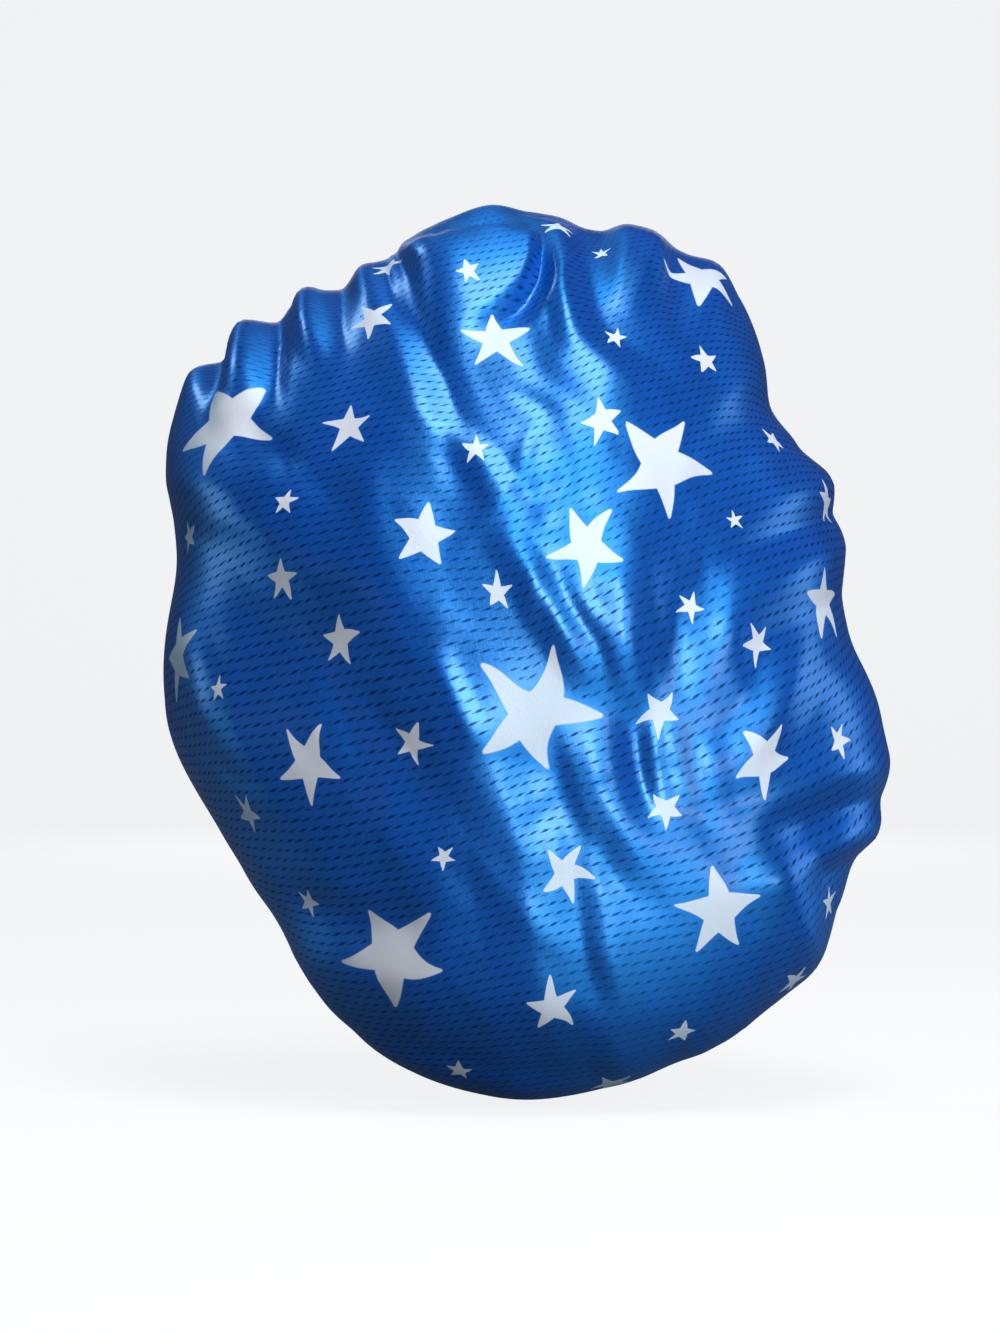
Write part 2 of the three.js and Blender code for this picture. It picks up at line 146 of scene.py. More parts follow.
CREASES = (
    # Gathers that come over the upper left edge, with notches between them.
    Crease(((-84, 82), (-91, 108), (-93, 165)), 7, 10, 12, 0.6),
    Crease(((-76, 82), (-87, 112), (-90, 165)), -5, 9, 13),
    Crease(((-106, 60), (-111, 94), (-108, 150)), -5, 10, 10),
    Crease(((-133, 60), (-125, 84), (-115, 140)), 6.5, 9, 12, 0.6),
    Crease(((-142, 64), (-137, 86), (-127, 135)), -4, 7, 6),
    Crease(((-151, 68), (-143, 90), (-133, 135)), 4.5, 7, 8, 0.6),
    Crease(((-62, 102), (-68, 128), (-70, 172)), 5, 9, 10, 0.6),
    Crease(((-40, 128), (-50, 146), (-56, 168)), 6, 7, 12, 0.5),
    Crease(((-42, 116), (-48, 136), (-52, 172)), -4.5, 8, 10),
    # The long stripe that runs down from the upper left, and the hollow to its right.
    Crease(((-28, 30), (-50, 84), (-70, 150)), 3.5, 34, 15),
    Crease(((-18, 44), (-34, 84), (-42, 102), (-51, 126), (-58, 160)), -1.5, 13, 10, 0.1),
    # The top: the dome, the flap over it, the hook-shaped hollow and the ridges to its right.
    Crease(((-62, 126), (-18, 143), (26, 145)), 10, 14, 46, 0.4, 0.26),
    Crease(((-36, 157), (-4, 163), (32, 155)), 5, 9, 6),
    Crease(((-34, 152), (-10, 152), (12, 145)), -11, 6, 6),
    Crease(((-28, 107), (-8, 116), (3, 126), (7, 140), (4, 160)), -8, 5, 11, 0.25),
    Crease(((22, 92), (17, 120), (12, 160)), 5, 8, 13),
    Crease(((64, 68), (34, 90), (20, 106), (14, 134)), 5, 44, 16),
    Crease(((32, 146), (48, 144), (66, 136)), 7, 12, 30, 0.3, 0.35),
    Crease(((67, 96), (66, 130), (62, 164)), -3.5, 9, 15),
    Crease(((76, 100), (82, 128), (85, 162)), 3, 11, 11),
    # The soft band that falls across the left.
    Crease(((-70, -26), (-112, 28), (-165, 66)), 6, 26, 26),
    Crease(((-94, 42), (-114, 58), (-138, 72)), -3, 12, 12),
    # The long edge left of the middle, falling away on its left, and the main ridge right of it.
    Crease((
        (6, -166), (-13, -129), (-24, -106), (-30, -80), (-36, -55),
        (-56, -6), (-63, 20), (-63, 50), (-54, 94),
    ), 13, 40, 90, 0.15),
    Crease(((34, -70), (14, -16), (-4, 24), (-7, 60), (8, 104)), 7, 110, 46, 0.15),
    Crease(((-19, -84), (-30, -50), (-40, -20)), 0.9, 6, 9),
    # Thin creases that meet right of the middle.
    Crease(((6, 16), (-13, 42), (-42, 73)), 2, 11, 9),
    Crease(((-5, 34), (0, 52), (6, 70)), 0.9, 6, 6),
    Crease(((-12, 83), (5, 75), (20, 64)), -0.9, 6, 6),
    Crease(((2, 14), (12, 30), (22, 47)), -1, 8, 7),
    Crease(((40, -60), (15, -22), (0, 4), (-22, 40)), 2.4, 12, 9),
    Crease(((44, -52), (19, -8), (-2, 25)), -1.3, 9, 11),
    Crease(((52, -66), (29, -18), (10, 14)), 2, 10, 12),
    Crease(((50, -62), (43, -28), (35, 20)), 2.4, 12, 9),
    Crease(((50, -64), (48, -28), (47, 4), (46, 34)), 4.5, 40, 18),
    Crease(((52, -66), (45, -12), (41, 40), (46, 108)), 7, 76, 34),
    # The bright fold that climbs to the right, and the level folds above it.
    Crease(((74, -72), (81, -44), (85, -26), (98, -8), (120, 6), (165, 32)), 5, 22, 20),
    Crease(((82, 4), (110, 17), (170, 44)), -4, 12, 14),
    Crease(((90, 32), (114, 38), (170, 60)), 3, 16, 16),
    Crease(((70, 2), (74, 20), (79, 42)), 0.9, 7, 7),
    Crease(((72, 58), (96, 68), (126, 88)), -3, 16, 16),
    # Streaks below the middle.
    Crease((
        (14, -205), (6, -161), (1, -133), (-2, -112), (-8, -91), (-18, -68), (-36, -32),
    ), 4.4, 22, 90, 0.2, 0.3),
    Crease((
        (36, -205), (25, -161), (20, -133), (17, -112), (12, -91), (6, -70), (-2, -44),
    ), -2.2, 40, 11, 0.2, 0.3),
    Crease(((70, -146), (38, -100), (30, -78), (24, -44)), 3.6, 16, 32),
    Crease(((58, -116), (48, -78), (44, -44)), -3.5, 12, 10),
    Crease(((60, -108), (56, -82), (55, -54)), 0.9, 6, 6),
    Crease(((84, -109), (68, -86), (61, -54)), 1.2, 7, 7),
    Crease(((87, -112), (82, -86), (80, -58)), 1.5, 8, 9),
    Crease(((126, -184), (110, -142), (96, -92)), 11, 52, 24),
    Crease(((-120, -146), (0, -178), (80, -178), (136, -158)), 12, 96, 36, 0.4, 0.3),
    # The lower right: the bulge and the notches under it.
    Crease(((84, -98), (106, -62), (126, -14)), 4, 16, 16),
    Crease(((92, -100), (130, -86), (175, -76)), 3, 16, 14),
    Crease(((76, -128), (123, -108), (172, -90)), -4, 16, 13),
    Crease(((116, -122), (138, -111), (172, -99)), 3, 9, 14),
    Crease(((118, -136), (140, -126), (172, -114)), -3, 10, 14),
    # Soft folds that slant down the lower left.
    Crease(((-20, -154), (-62, -102), (-92, -58), (-98, -8)), 5.5, 24, 28),
    Crease(((-50, -150), (-104, -92), (-130, -50), (-165, 10)), 5.5, 24, 26),
    Crease(((-120, -132), (-76, -148), (-28, -150)), -5, 16, 20),
    Crease(((50, -226), (38, -198), (26, -172)), 2.5, 14, 16),
)


class Star(NamedTuple):
    """A printed star: its place in the outline's plane, tip radius in millimetres, turn in degrees, and its
    height as a share of its width where the cloth bunches up."""

    x: float
    z: float
    radius: float
    turn: float
    tall: float = 1.0


STARS = (
    Star(5, -58, 28, 20), Star(59, 51, 27, 30), Star(-133, 68, 30, 31), Star(83, -145, 18.5, 68),
    Star(-57, -163, 27, 40, 0.86), Star(26, 14, 19.5, 46),
    Star(-94, -80, 16, 31), Star(-13, 103, 23, 66, 0.74),
    Star(19, -127, 13.5, 27), Star(104, -78, 15, 28), Star(13, -186, 13, 66), Star(-43, 20, 14.5, 71),
    Star(58, -58, 9.5, 37), Star(33, 69, 11.5, 60), Star(-77, 66, 13, 59), Star(-66, 113, 15, 37),
    Star(62, -101, 8, 36), Star(14, 154, 12, 3), Star(76, 132, 31, 60), Star(-11, -5, 8, 66),
    Star(-120, -101, 9, 23), Star(78, 95, 9, 61), Star(-24, 135, 7.5, 47), Star(101, -28, 9, 43),
    Star(132, -140, 8, 5), Star(-80, -26, 9.5, 69), Star(-49, -71, 8.5, 21), Star(-60, 135, 13, 9),
    Star(72, -11, 7, 34), Star(-21, 56, 7.5, 70), Star(130, -11, 18, 68), Star(-150, -33, 19, 50),
    Star(131, 34, 12, 59), Star(-35, -122, 5.5, 43), Star(-106, 0, 8.5, 70), Star(137, -71, 7.5, 32),
    Star(68, -198, 7, 11), Star(39, 106, 7, 15), Star(-133, -48, 5, 67), Star(91, 25, 5, 69),
    Star(-94, -141, 7, 15), Star(-28, -213, 7, 5), Star(38, -218.5, 13, 40), Star(118, -174, 9, 20),
    Star(-105, 34, 6, 0), Star(108, 61, 8, 33), Star(-146, 18, 8, 55), Star(33, 141, 7, 10),
)


class BonnetSizes(bpy.types.PropertyGroup):
    """Sizes of the bonnet's pieces."""

    opening_length: bpy.props.FloatProperty(
        name="Opening Length", description="Head opening from forehead to nape",
        default=0.196, unit="LENGTH",
    )
    opening_width: bpy.props.FloatProperty(
        name="Opening Width", description="Head opening from ear to ear", default=0.158, unit="LENGTH"
    )
    opening_tilt: bpy.props.FloatProperty(
        name="Opening Tilt", description="Climb of the opening from nape to forehead",
        default=math.radians(44), subtype="ANGLE",
    )
    bag_width: bpy.props.FloatProperty(
        name="Bag Width", description="Width of the filled bag", default=0.314, unit="LENGTH"
    )
    bag_height: bpy.props.FloatProperty(
        name="Bag Height", description="Height of the filled bag", default=0.386, unit="LENGTH"
    )
    satin_thickness: bpy.props.FloatProperty(
        name="Satin Thickness", description="Thickness of one layer of satin", default=0.0005, unit="LENGTH"
    )
    elastic_width: bpy.props.FloatProperty(
        name="Elastic Width", description="Width of the woven elastic", default=0.020, unit="LENGTH"
    )
    elastic_thickness: bpy.props.FloatProperty(
        name="Elastic Thickness", description="Thickness of the woven elastic",
        default=0.0012, unit="LENGTH",
    )
    elastic_overlap: bpy.props.FloatProperty(
        name="Elastic Overlap", description="Lap of the elastic's two ends", default=0.024, unit="LENGTH"
    )
    thread_diameter: bpy.props.FloatProperty(
        name="Thread Diameter", description="Diameter of the sewing thread", default=0.0004, unit="LENGTH"
    )
    stitch_length: bpy.props.FloatProperty(
        name="Stitch Length", description="Length of one machine stitch", default=0.0032, unit="LENGTH"
    )
    fold_strength: bpy.props.FloatProperty(
        name="Fold Strength", description="Scale of the drawn folds' height", default=1.0, subtype="FACTOR"
    )


class BonnetColours(bpy.types.PropertyGroup):
    """Colours of the cloth, print, elastic, thread and floor, and the pitches of the print."""

    satin: bpy.props.FloatVectorProperty(
        name="Satin", description="Ground of the printed satin", subtype="COLOR", size=4,
        default=(0.001, 0.057, 0.41, 1),
    )
    star: bpy.props.FloatVectorProperty(
        name="Stars", description="Printed stars", subtype="COLOR", size=4, default=(0.64, 0.645, 0.7, 1)
    )
    dash: bpy.props.FloatVectorProperty(
        name="Dashes", description="Fine printed dashes", subtype="COLOR", size=4,
        default=(0.001, 0.014, 0.1, 1),
    )
    lining: bpy.props.FloatVectorProperty(
        name="Lining", description="Plain satin inside", subtype="COLOR", size=4,
        default=(0.006, 0.03, 0.19, 1),
    )
    elastic: bpy.props.FloatVectorProperty(
        name="Elastic", description="Woven elastic", subtype="COLOR", size=4, default=(0.80, 0.78, 0.74, 1)
    )
    blue_thread: bpy.props.FloatVectorProperty(
        name="Blue Thread", description="Thread of the band's seams", subtype="COLOR", size=4,
        default=(0.007, 0.04, 0.26, 1),
    )
    white_thread: bpy.props.FloatVectorProperty(
        name="White Thread", description="Thread that joins the elastic", subtype="COLOR", size=4,
        default=(0.85, 0.85, 0.83, 1),
    )
    floor: bpy.props.FloatVectorProperty(
        name="Floor", description="Floor and backdrop", subtype="COLOR", size=4,
        default=(0.88, 0.89, 0.91, 1),
    )
    floor_bounce: bpy.props.FloatVectorProperty(
        name="Floor Bounce", description="What the floor throws back", subtype="COLOR", size=4,
        default=(0.06, 0.06, 0.065, 1),
    )
    row_pitch: bpy.props.FloatProperty(
        name="Row Pitch", description="Distance between two rows of dashes", default=0.0041, unit="LENGTH"
    )
    dash_pitch: bpy.props.FloatProperty(
        name="Dash Pitch", description="Distance between two dashes of a row", default=0.0056, unit="LENGTH"
    )


# Shapes of the bag and the band


def smooth(share):
    """An S curve from 0 to 1."""
    share = np.clip(share, 0, 1)
    return share * share * (3 - 2 * share)


def lerp(a, b, share):
    return a + (b - a) * share


class Section(NamedTuple):
    """Heights across the band in metres, from its fold to its mouth, and half its thickness."""

    half_thickness: float
    fold_centre: float
    allowance_end: float
    mouth: float
    stitch_line: float


def band_section(sizes):
    half_gap = sizes.elastic_thickness + sizes.thread_diameter + (LAYER_GAP / 2 + 2 * CLEARANCE) * MM
    allowance_end = sizes.elastic_width / 2 + LAYER_GAP * MM
    mouth = allowance_end + SEAM_ALLOWANCE * MM
    return Section(
        half_gap + sizes.satin_thickness,
        -allowance_end,
        allowance_end,
        mouth,
        mouth - STITCH_INSET * MM,
    )


def loop_point(sizes, turn, outward, inward):
    """Points of the band: outward is square to the loop in its plane, inward runs into the bag."""
    long, wide = sizes.opening_length / 2, sizes.opening_width / 2
    ahead, aside = np.cos(turn), np.sin(turn)
    share = outward / np.hypot(wide * ahead, long * aside)
    x = aside * (wide + share * long)
    y = ahead * (long + share * wide)
    z = inward + np.zeros_like(x)
    lift, lean = math.sin(sizes.opening_tilt), math.cos(sizes.opening_tilt)
    return np.stack([x, y * lean - z * lift, y * lift + z * lean], axis=-1)


def nape_share(turn):
    return (1 - np.cos(turn)) / 2


def between(before, start, end, after, t):
    """A smooth curve from start to end, at shares t of the way, with slopes from all four points."""
    leave, arrive = (end - before) / 2, (after - start) / 2
    return (
        (2 * t**3 - 3 * t**2 + 1) * start
        + (t**3 - 2 * t**2 + t) * leave
        + (3 * t**2 - 2 * t**3) * end
        + (t**3 - t**2) * arrive
    )


def outline(sizes, turn):
    """The bag's outline seen from behind, a closed curve through its listed shares."""
    shares = np.array(OUTLINE_SHARES)
    count = len(shares)
    turns = np.arange(count) / count * TURN
    points = np.stack([
        shares * sizes.bag_width / 2 * np.sin(turns),
        lerp(OUTLINE_TOP_Y * MM, OUTLINE_BOTTOM_Y * MM, nape_share(turns)),
        BAG_MIDDLE_Z * MM + shares * sizes.bag_height / 2 * np.cos(turns),
    ], axis=-1)
    place = np.mod(np.asarray(turn, float) / TURN, 1) * count
    index = np.floor(place).astype(int)
    four = (points[(index + k) % count] for k in (-1, 0, 1, 2))
    return between(*four, (place - index)[..., None])


def smooth_bag(sizes, turn, along):
    """Points of the bag without folds: along is 0 at the band, 1 at the outline and 2 at the crown."""
    rim = outline(sizes, turn)
    start = band_section(sizes).mouth + MOUTH_LEAD * MM
    puff_up = lerp(FOREHEAD_PUFF_UP, NAPE_PUFF_UP, nape_share(turn)) * MM
    handles = (
        loop_point(sizes, turn, 0, start),
        loop_point(sizes, turn, PUFF_OUT * MM, start + puff_up),
        rim + np.array([0, FRONT_FULLNESS * MM, 0]),
        rim,
    )
    t = np.clip(along, 0, 1)[..., None]
    weights = ((1 - t) ** 3, 3 * t * (1 - t) ** 2, 3 * t**2 * (1 - t), t**3)
    front = sum(weight * handle for weight, handle in zip(weights, handles))
    crown = np.array(CROWN) * MM
    angle = np.clip(along - 1, 0, 1) * math.pi / 2
    across = (np.clip(np.cos(angle), 0, 1) ** (2 / BACK_FULLNESS))[..., None]
    behind = (np.sin(angle) ** (2 / BACK_FULLNESS))[..., None]
    back = np.concatenate([
        lerp(crown[:1], rim[..., :1], across),
        lerp(rim[..., 1:2], crown[1:2], behind),
        lerp(crown[2:], rim[..., 2:], across),
    ], axis=-1)
    return np.where((along < 1)[..., None], front, back)


MERIDIANS = 181
MERIDIAN_STEPS = 241


class Meridians:
    """Lengths along the bag from the crown to the band, so that cloth is laid evenly."""

    def __init__(self, sizes):
        self.turns = np.linspace(0, TURN, MERIDIANS)
        self.alongs = np.linspace(2, 0, MERIDIAN_STEPS)
        grid_turn, grid_along = np.meshgrid(self.turns, self.alongs, indexing="ij")
        points = smooth_bag(sizes, grid_turn, grid_along)
        steps = np.linalg.norm(np.diff(points, axis=1), axis=-1)
        self.lengths = np.concatenate([np.zeros((MERIDIANS, 1)), np.cumsum(steps, axis=1)], axis=1)

    def look_up(self, turn, share):
        """Along and the cloth's length from the crown, at a share of the way from crown to band."""
        place = np.mod(turn / TURN, 1) * (MERIDIANS - 1)
        low = np.floor(place).astype(int)
        part = place - low
        along, length = np.zeros_like(share), np.zeros_like(share)
        for row, weight in ((low, 1 - part), ((low + 1) % MERIDIANS, part)):
            for meridian in np.unique(row):
                here = row == meridian
                wanted = share[here] * self.lengths[meridian, -1]
                along[here] += weight[here] * np.interp(wanted, self.lengths[meridian], self.alongs)
                length[here] += weight[here] * wanted
        return along, length


GRID_CELLS = 150
GRID_ROWS = 40
GRID_INNER_SHARE = 0.52
GRID_SQUARE_SHARE = 0.4
GRID_ROUND_SHARE = 0.5


def disc_grid():
    """A flat round grid without a pole: a rounded square patch inside rings of four sides. Returns each
    point's turn and share of the radius, the faces, and the rim's points."""
    edge = np.tan(np.linspace(-1, 1, GRID_CELLS + 1) * math.pi / 4)
    a, b = np.meshgrid(edge, edge, indexing="ij")
    round_a, round_b = a * np.sqrt(1 - b * b / 2), b * np.sqrt(1 - a * a / 2)
    x = GRID_INNER_SHARE * (GRID_SQUARE_SHARE * a + GRID_ROUND_SHARE * round_a)
    z = GRID_INNER_SHARE * (GRID_SQUARE_SHARE * b + GRID_ROUND_SHARE * round_b)
    index = np.arange((GRID_CELLS + 1) ** 2).reshape(GRID_CELLS + 1, GRID_CELLS + 1)
    faces = [np.stack([index[:-1, :-1], index[1:, :-1], index[1:, 1:], index[:-1, 1:]], -1).reshape(-1, 4)]
    border = np.concatenate([index[:-1, -1], index[-1, :0:-1], index[:0:-1, 0], index[0, :-1]])
    x, z = x.ravel(), z.ravel()
    turn, share = np.arctan2(x, z), np.hypot(x, z)
    border_turn, border_share = turn[border], share[border]
    turns, shares = [turn], [share]
    previous, count = border, len(turn)
    for row in range(1, GRID_ROWS + 1):
        ring = count + np.arange(len(border))
        turns.append(border_turn)
        shares.append(lerp(border_share, 1, row / GRID_ROWS))
        faces.append(np.stack([previous, np.roll(previous, -1), np.roll(ring, -1), ring], -1))
        previous, count = ring, count + len(border)
    return np.mod(np.concatenate(turns), TURN), np.concatenate(shares), np.concatenate(faces), previous


TINY = 1e-12


def vertex_normals(points, faces):
    """Outward directions at the points of a sheet of four-sided faces."""
    corners = points[faces]
    across = np.cross(corners[:, 2] - corners[:, 0], corners[:, 3] - corners[:, 1])
    normals = np.zeros_like(points)
    for corner in range(4):
        np.add.at(normals, faces[:, corner], across)
    return normals / np.maximum(np.linalg.norm(normals, axis=1, keepdims=True), TINY)


def seen_from_behind(points):
    """Places of points in the outline's plane, as seen from the viewing point, in millimetres."""
    eye = np.array(VIEW_POINT)
    away = points / MM - eye
    scale = (OUTLINE_PLANE_Y - eye[1]) / away[:, 1]
    return np.stack([eye[0] + away[:, 0] * scale, eye[2] + away[:, 2] * scale], axis=-1)


FOLD_RISE = 0.7


def main_fold_heights(turn, along):
    """Heights in millimetres of the folds that run over the outline. They rise on the way from the band."""
    degrees = np.degrees(turn)
    height = np.zeros_like(turn)
    for fold in MAIN_FOLDS:
        away = np.mod(degrees - fold.turn + 180, 360) - 180
        ridge = smooth(1 - np.abs(away) / (2 * fold.spread))
        height += fold.height * ridge * smooth((1 + fold.reach - along) / fold.reach)
    return height * smooth(along / FOLD_RISE)


def slow_sway(random, turn, waves, sizes):
    """A slow uneven wave round the loop, so that gathers and puckers aren't evenly spaced."""
    return sum(random.uniform(*sizes) / k * np.sin(k * turn + random.uniform(0, TURN)) for k in waves)


# Gathers in three sizes, the finest nearest the band, with heights in millimetres.
GATHER_COUNTS = (40, 21, 11)
GATHER_HEIGHTS = (2.6, 3.2, 3.0)
GATHER_PEAKS = (0.12, 0.32, 0.6)
GATHER_SPANS = (0.14, 0.26, 0.34)
GATHER_RISE = 0.08
GATHER_END = 1.3
GATHER_SWAY_WAVES = (2, 3, 5, 7)
GATHER_SWAY_SIZES = (0.3, 0.9)
GATHER_SWAY = 2.2
GATHER_LEAN = 1.5
GATHER_UNEVEN = 0.35
GATHER_UNEVEN_WAVES = (3, 6)
FINE_GATHER_SHARE = 0.25
FINE_GATHER_SWAY = 4
GATHER_SEED = 5


def gather_heights(turn, along):
    """Heights in millimetres of the gathers between band and outline. They merge as they leave the band."""
    random = np.random.default_rng(GATHER_SEED)
    height = np.zeros_like(turn)
    for count, size, peak, span in zip(GATHER_COUNTS, GATHER_HEIGHTS, GATHER_PEAKS, GATHER_SPANS):
        sway = slow_sway(random, turn, GATHER_SWAY_WAVES, GATHER_SWAY_SIZES)
        bunches = random.integers(*GATHER_UNEVEN_WAVES)
        uneven = 1 + GATHER_UNEVEN * np.sin(bunches * turn + random.uniform(0, TURN))
        near = np.exp(-(((along - peak) / span) ** 2)) * smooth(along / GATHER_RISE)
        wave = np.cos(count * turn + GATHER_SWAY * sway + GATHER_LEAN * along)
        fine = np.cos(2 * count * turn + FINE_GATHER_SWAY * sway)
        height += size * near * uneven * (wave + FINE_GATHER_SHARE * fine)
    return height * (along < GATHER_END)


SPAN_STEPS = 8
FLANK_POWER = 1.2


def curve_through(points):
    """Even steps along a smooth curve through points in a plane."""
    points = np.array(points, float)
    padded = np.concatenate([2 * points[:1] - points[1:2], points, 2 * points[-1:] - points[-2:-1]])
    t = (np.arange(SPAN_STEPS) / SPAN_STEPS)[:, None]
    curve = [between(*four, t) for four in zip(padded, padded[1:], padded[2:], padded[3:])]
    return np.concatenate([*curve, points[-1:]])


def crease_heights(places, crease):
    """Heights in millimetres of one drawn fold at places in the outline's plane: a crest between two nearly
    straight flanks, as in cloth under tension, running out at both ends."""
    line = curve_through(crease.line)
    steps = np.linalg.norm(np.diff(line, axis=0), axis=1)
    lengths = np.concatenate([[0], np.cumsum(steps)])
    reach = max(crease.left, crease.right)
    low, high = line.min(0) - reach, line.max(0) + reach
    near = np.nonzero(((places > low) & (places < high)).all(axis=1))[0]
    here = places[near]
    best = np.full(len(near), np.inf)
    on_right, share = np.zeros(len(near), bool), np.zeros(len(near))
    for step, length in enumerate(steps):
        span = line[step + 1] - line[step]
        away = here - line[step]
        part = np.clip(away @ span / length**2, 0, 1)
        gap = away - part[:, None] * span
        distance = np.hypot(gap[:, 0], gap[:, 1])
        closer = distance < best
        best[closer] = distance[closer]
        on_right[closer] = span[1] * away[closer, 0] > span[0] * away[closer, 1]
        share[closer] = (lengths[step] + part[closer] * length) / lengths[-1]
    width = np.where(on_right, crease.right, crease.left)
    crest = crease.round * min(crease.left, crease.right)
    run = (np.hypot(best, crest) - crest) / (np.hypot(width, crest) - crest)
    flank = np.clip(1 - run, 0, 1) ** FLANK_POWER
    taper = smooth(share / crease.ends) * smooth((1 - share) / crease.ends)
    height = np.zeros(len(places))
    height[near] = crease.height * flank * taper
    return height


# Wrinkles, with places, reaches and flanks in millimetres and slants in degrees.
WRINKLE_SEED = 8
WRINKLES = 120
WRINKLE_X = (-150, 150)
WRINKLE_Z = (-215, 150)
WRINKLE_SLANT = 118
WRINKLE_SLANT_SPREAD = 24
WRINKLE_REACH = (14, 38)
WRINKLE_BOW = 0.18
WRINKLE_FLANK = (5, 12)
WRINKLE_STEEPNESS = (0.03, 0.09)
WRINKLE_LOPSIDED = (0.7, 1.5)
WRINKLE_ROUND = 0.35


def small_wrinkles():
    """Short faint folds all over the back, mostly slanting down to the right as the cloth hangs."""
    random = np.random.default_rng(WRINKLE_SEED)
    wrinkles = []
    for _ in range(WRINKLES):
        middle = np.array([random.uniform(*WRINKLE_X), random.uniform(*WRINKLE_Z)])
        slant = math.radians(random.normal(WRINKLE_SLANT, WRINKLE_SLANT_SPREAD))
        reach = random.uniform(*WRINKLE_REACH)
        ahead = reach * np.array([math.cos(slant), math.sin(slant)])
        bow = random.uniform(-WRINKLE_BOW, WRINKLE_BOW) * np.array([-ahead[1], ahead[0]])
        flank = random.uniform(*WRINKLE_FLANK)
        height = random.choice([-1, 1]) * flank * random.uniform(*WRINKLE_STEEPNESS)
        line = (middle - ahead, middle + bow, middle + ahead)
        other_flank = flank * random.uniform(*WRINKLE_LOPSIDED)
        wrinkles.append(Crease(line, height, flank, other_flank, WRINKLE_ROUND))
    return wrinkles


class BagCloth(NamedTuple):
    """The bag's middle surface: points, their outward normals, faces, places on the flat cloth, and which
    points lie on the back."""

    points: np.ndarray
    normals: np.ndarray
    faces: np.ndarray
    flat: np.ndarray
    back: np.ndarray


BACK_START = 0.75
FACING_SPREAD = 0.5
FACING_SHIFT = 0.75
CAUGHT_ROWS = 3


def bag_cloth(sizes):
    """The bag with all its folds, and the edge of it that the band catches."""
    turn, share, faces, rim = disc_grid()
    along, length = Meridians(sizes).look_up(turn, share)
    points = smooth_bag(sizes, turn, along)
    normals = vertex_normals(points, faces)
    heights = main_fold_heights(turn, along) + gather_heights(turn, along)
    points = points + normals * (heights * MM)[:, None]
    normals = vertex_normals(points, faces)
    places = seen_from_behind(points)
    back = along > BACK_START
    creases = [*CREASES, *small_wrinkles()]
    drawn = sum(crease_heights(places, crease) for crease in creases) * sizes.fold_strength
    facing = smooth(-normals[:, 1] / FACING_SPREAD + FACING_SHIFT) * back
    points = points + normals * (drawn * facing * MM)[:, None]
    section = band_section(sizes)
    edge = section.mouth + MOUTH_LEAD * MM
    rim_turn, rim_length = turn[rim], length[rim]
    for row in range(1, CAUGHT_ROWS + 1):
        depth = (edge - section.allowance_end) * row / CAUGHT_ROWS
        ring = len(points) + np.arange(len(rim))
        caught = loop_point(sizes, rim_turn, 0, edge - depth)
        points = np.concatenate([points, caught])
        turn = np.concatenate([turn, rim_turn])
        length = np.concatenate([length, rim_length + depth])
        back = np.concatenate([back, np.zeros(len(rim), bool)])
        faces = np.concatenate([faces, np.stack([rim, np.roll(rim, -1), np.roll(ring, -1), ring], -1)])
        rim = ring
    flat = np.stack([length * np.sin(turn), length * np.cos(turn)], axis=-1)
    return BagCloth(points, vertex_normals(points, faces), faces, flat, back)


# The print, laid on the cloth by two UV maps: one in metres of cloth, one around the nearest star

PRINT_SLOPE = math.radians(12)
BAG_BEND = (0, math.radians(12))
CLOTH_UV = "Cloth"
STAR_UV = "Star"
FAR_FROM_STARS = 9.0
STAR_REACH = 1.25
SCATTER_SEED = 12
SCATTER_TRIES = 900
SCATTER_RADII = (5, 24)
SCATTER_SHRINK = (0.4, 1)
SCATTER_SPACING = 30
SCATTER_CLEAR_SHARE = 0.9


def star_places(cloth):
    """Each star's place on the flat cloth, radius, turn and height share: the listed stars on the back,
    then others scattered out of view."""
    places = seen_from_behind(cloth.points)
    facing = np.nonzero(cloth.back & (cloth.normals[:, 1] < 0))[0]
    stars = []
    for star in STARS:
        nearest = facing[np.argmin(np.hypot(places[facing, 0] - star.x, places[facing, 1] - star.z))]
        stars.append((*cloth.flat[nearest], star.radius * MM, math.radians(star.turn), star.tall))
    random = np.random.default_rng(SCATTER_SEED)
    hidden = cloth.flat[~cloth.back]
    for _ in range(SCATTER_TRIES):
        u, v = hidden[random.integers(len(hidden))]
        radius = random.uniform(*SCATTER_RADII) * random.uniform(*SCATTER_SHRINK) * MM
        turn = random.uniform(0, TURN)
        clear = SCATTER_SPACING * MM
        if all(
            math.hypot(u - other_u, v - other_v) > clear + SCATTER_CLEAR_SHARE * (radius + other_radius)
            for other_u, other_v, other_radius, *_ in stars
        ):
            stars.append((u, v, radius, turn, 1.0))
    return stars


def around_stars(corners, stars):
    """For each face's corners on the flat cloth, their places in the nearest star's own frame."""
    middles = corners.mean(axis=1)
    best = np.full(len(middles), STAR_REACH)
    local = np.full(corners.shape, FAR_FROM_STARS)
    for u, v, radius, turn, tall in stars:
        distance = np.hypot(middles[:, 0] - u, middles[:, 1] - v) / radius
        near = distance < best
        best[near] = distance[near]
        away = (corners[near] - (u, v)) / (radius, radius * tall)
        ahead, aside = math.cos(turn), math.sin(turn)
        local[near] = np.stack([
            away[..., 0] * ahead - away[..., 1] * aside,
            away[..., 0] * aside + away[..., 1] * ahead,
        ], axis=-1)
    return local


def write_uv(mesh, name, places):
    """Adds a UV map, given the place of each corner of each face."""
    layer = mesh.uv_layers.new(name=name)
    layer.data.foreach_set("uv", places.astype(np.float32).ravel())


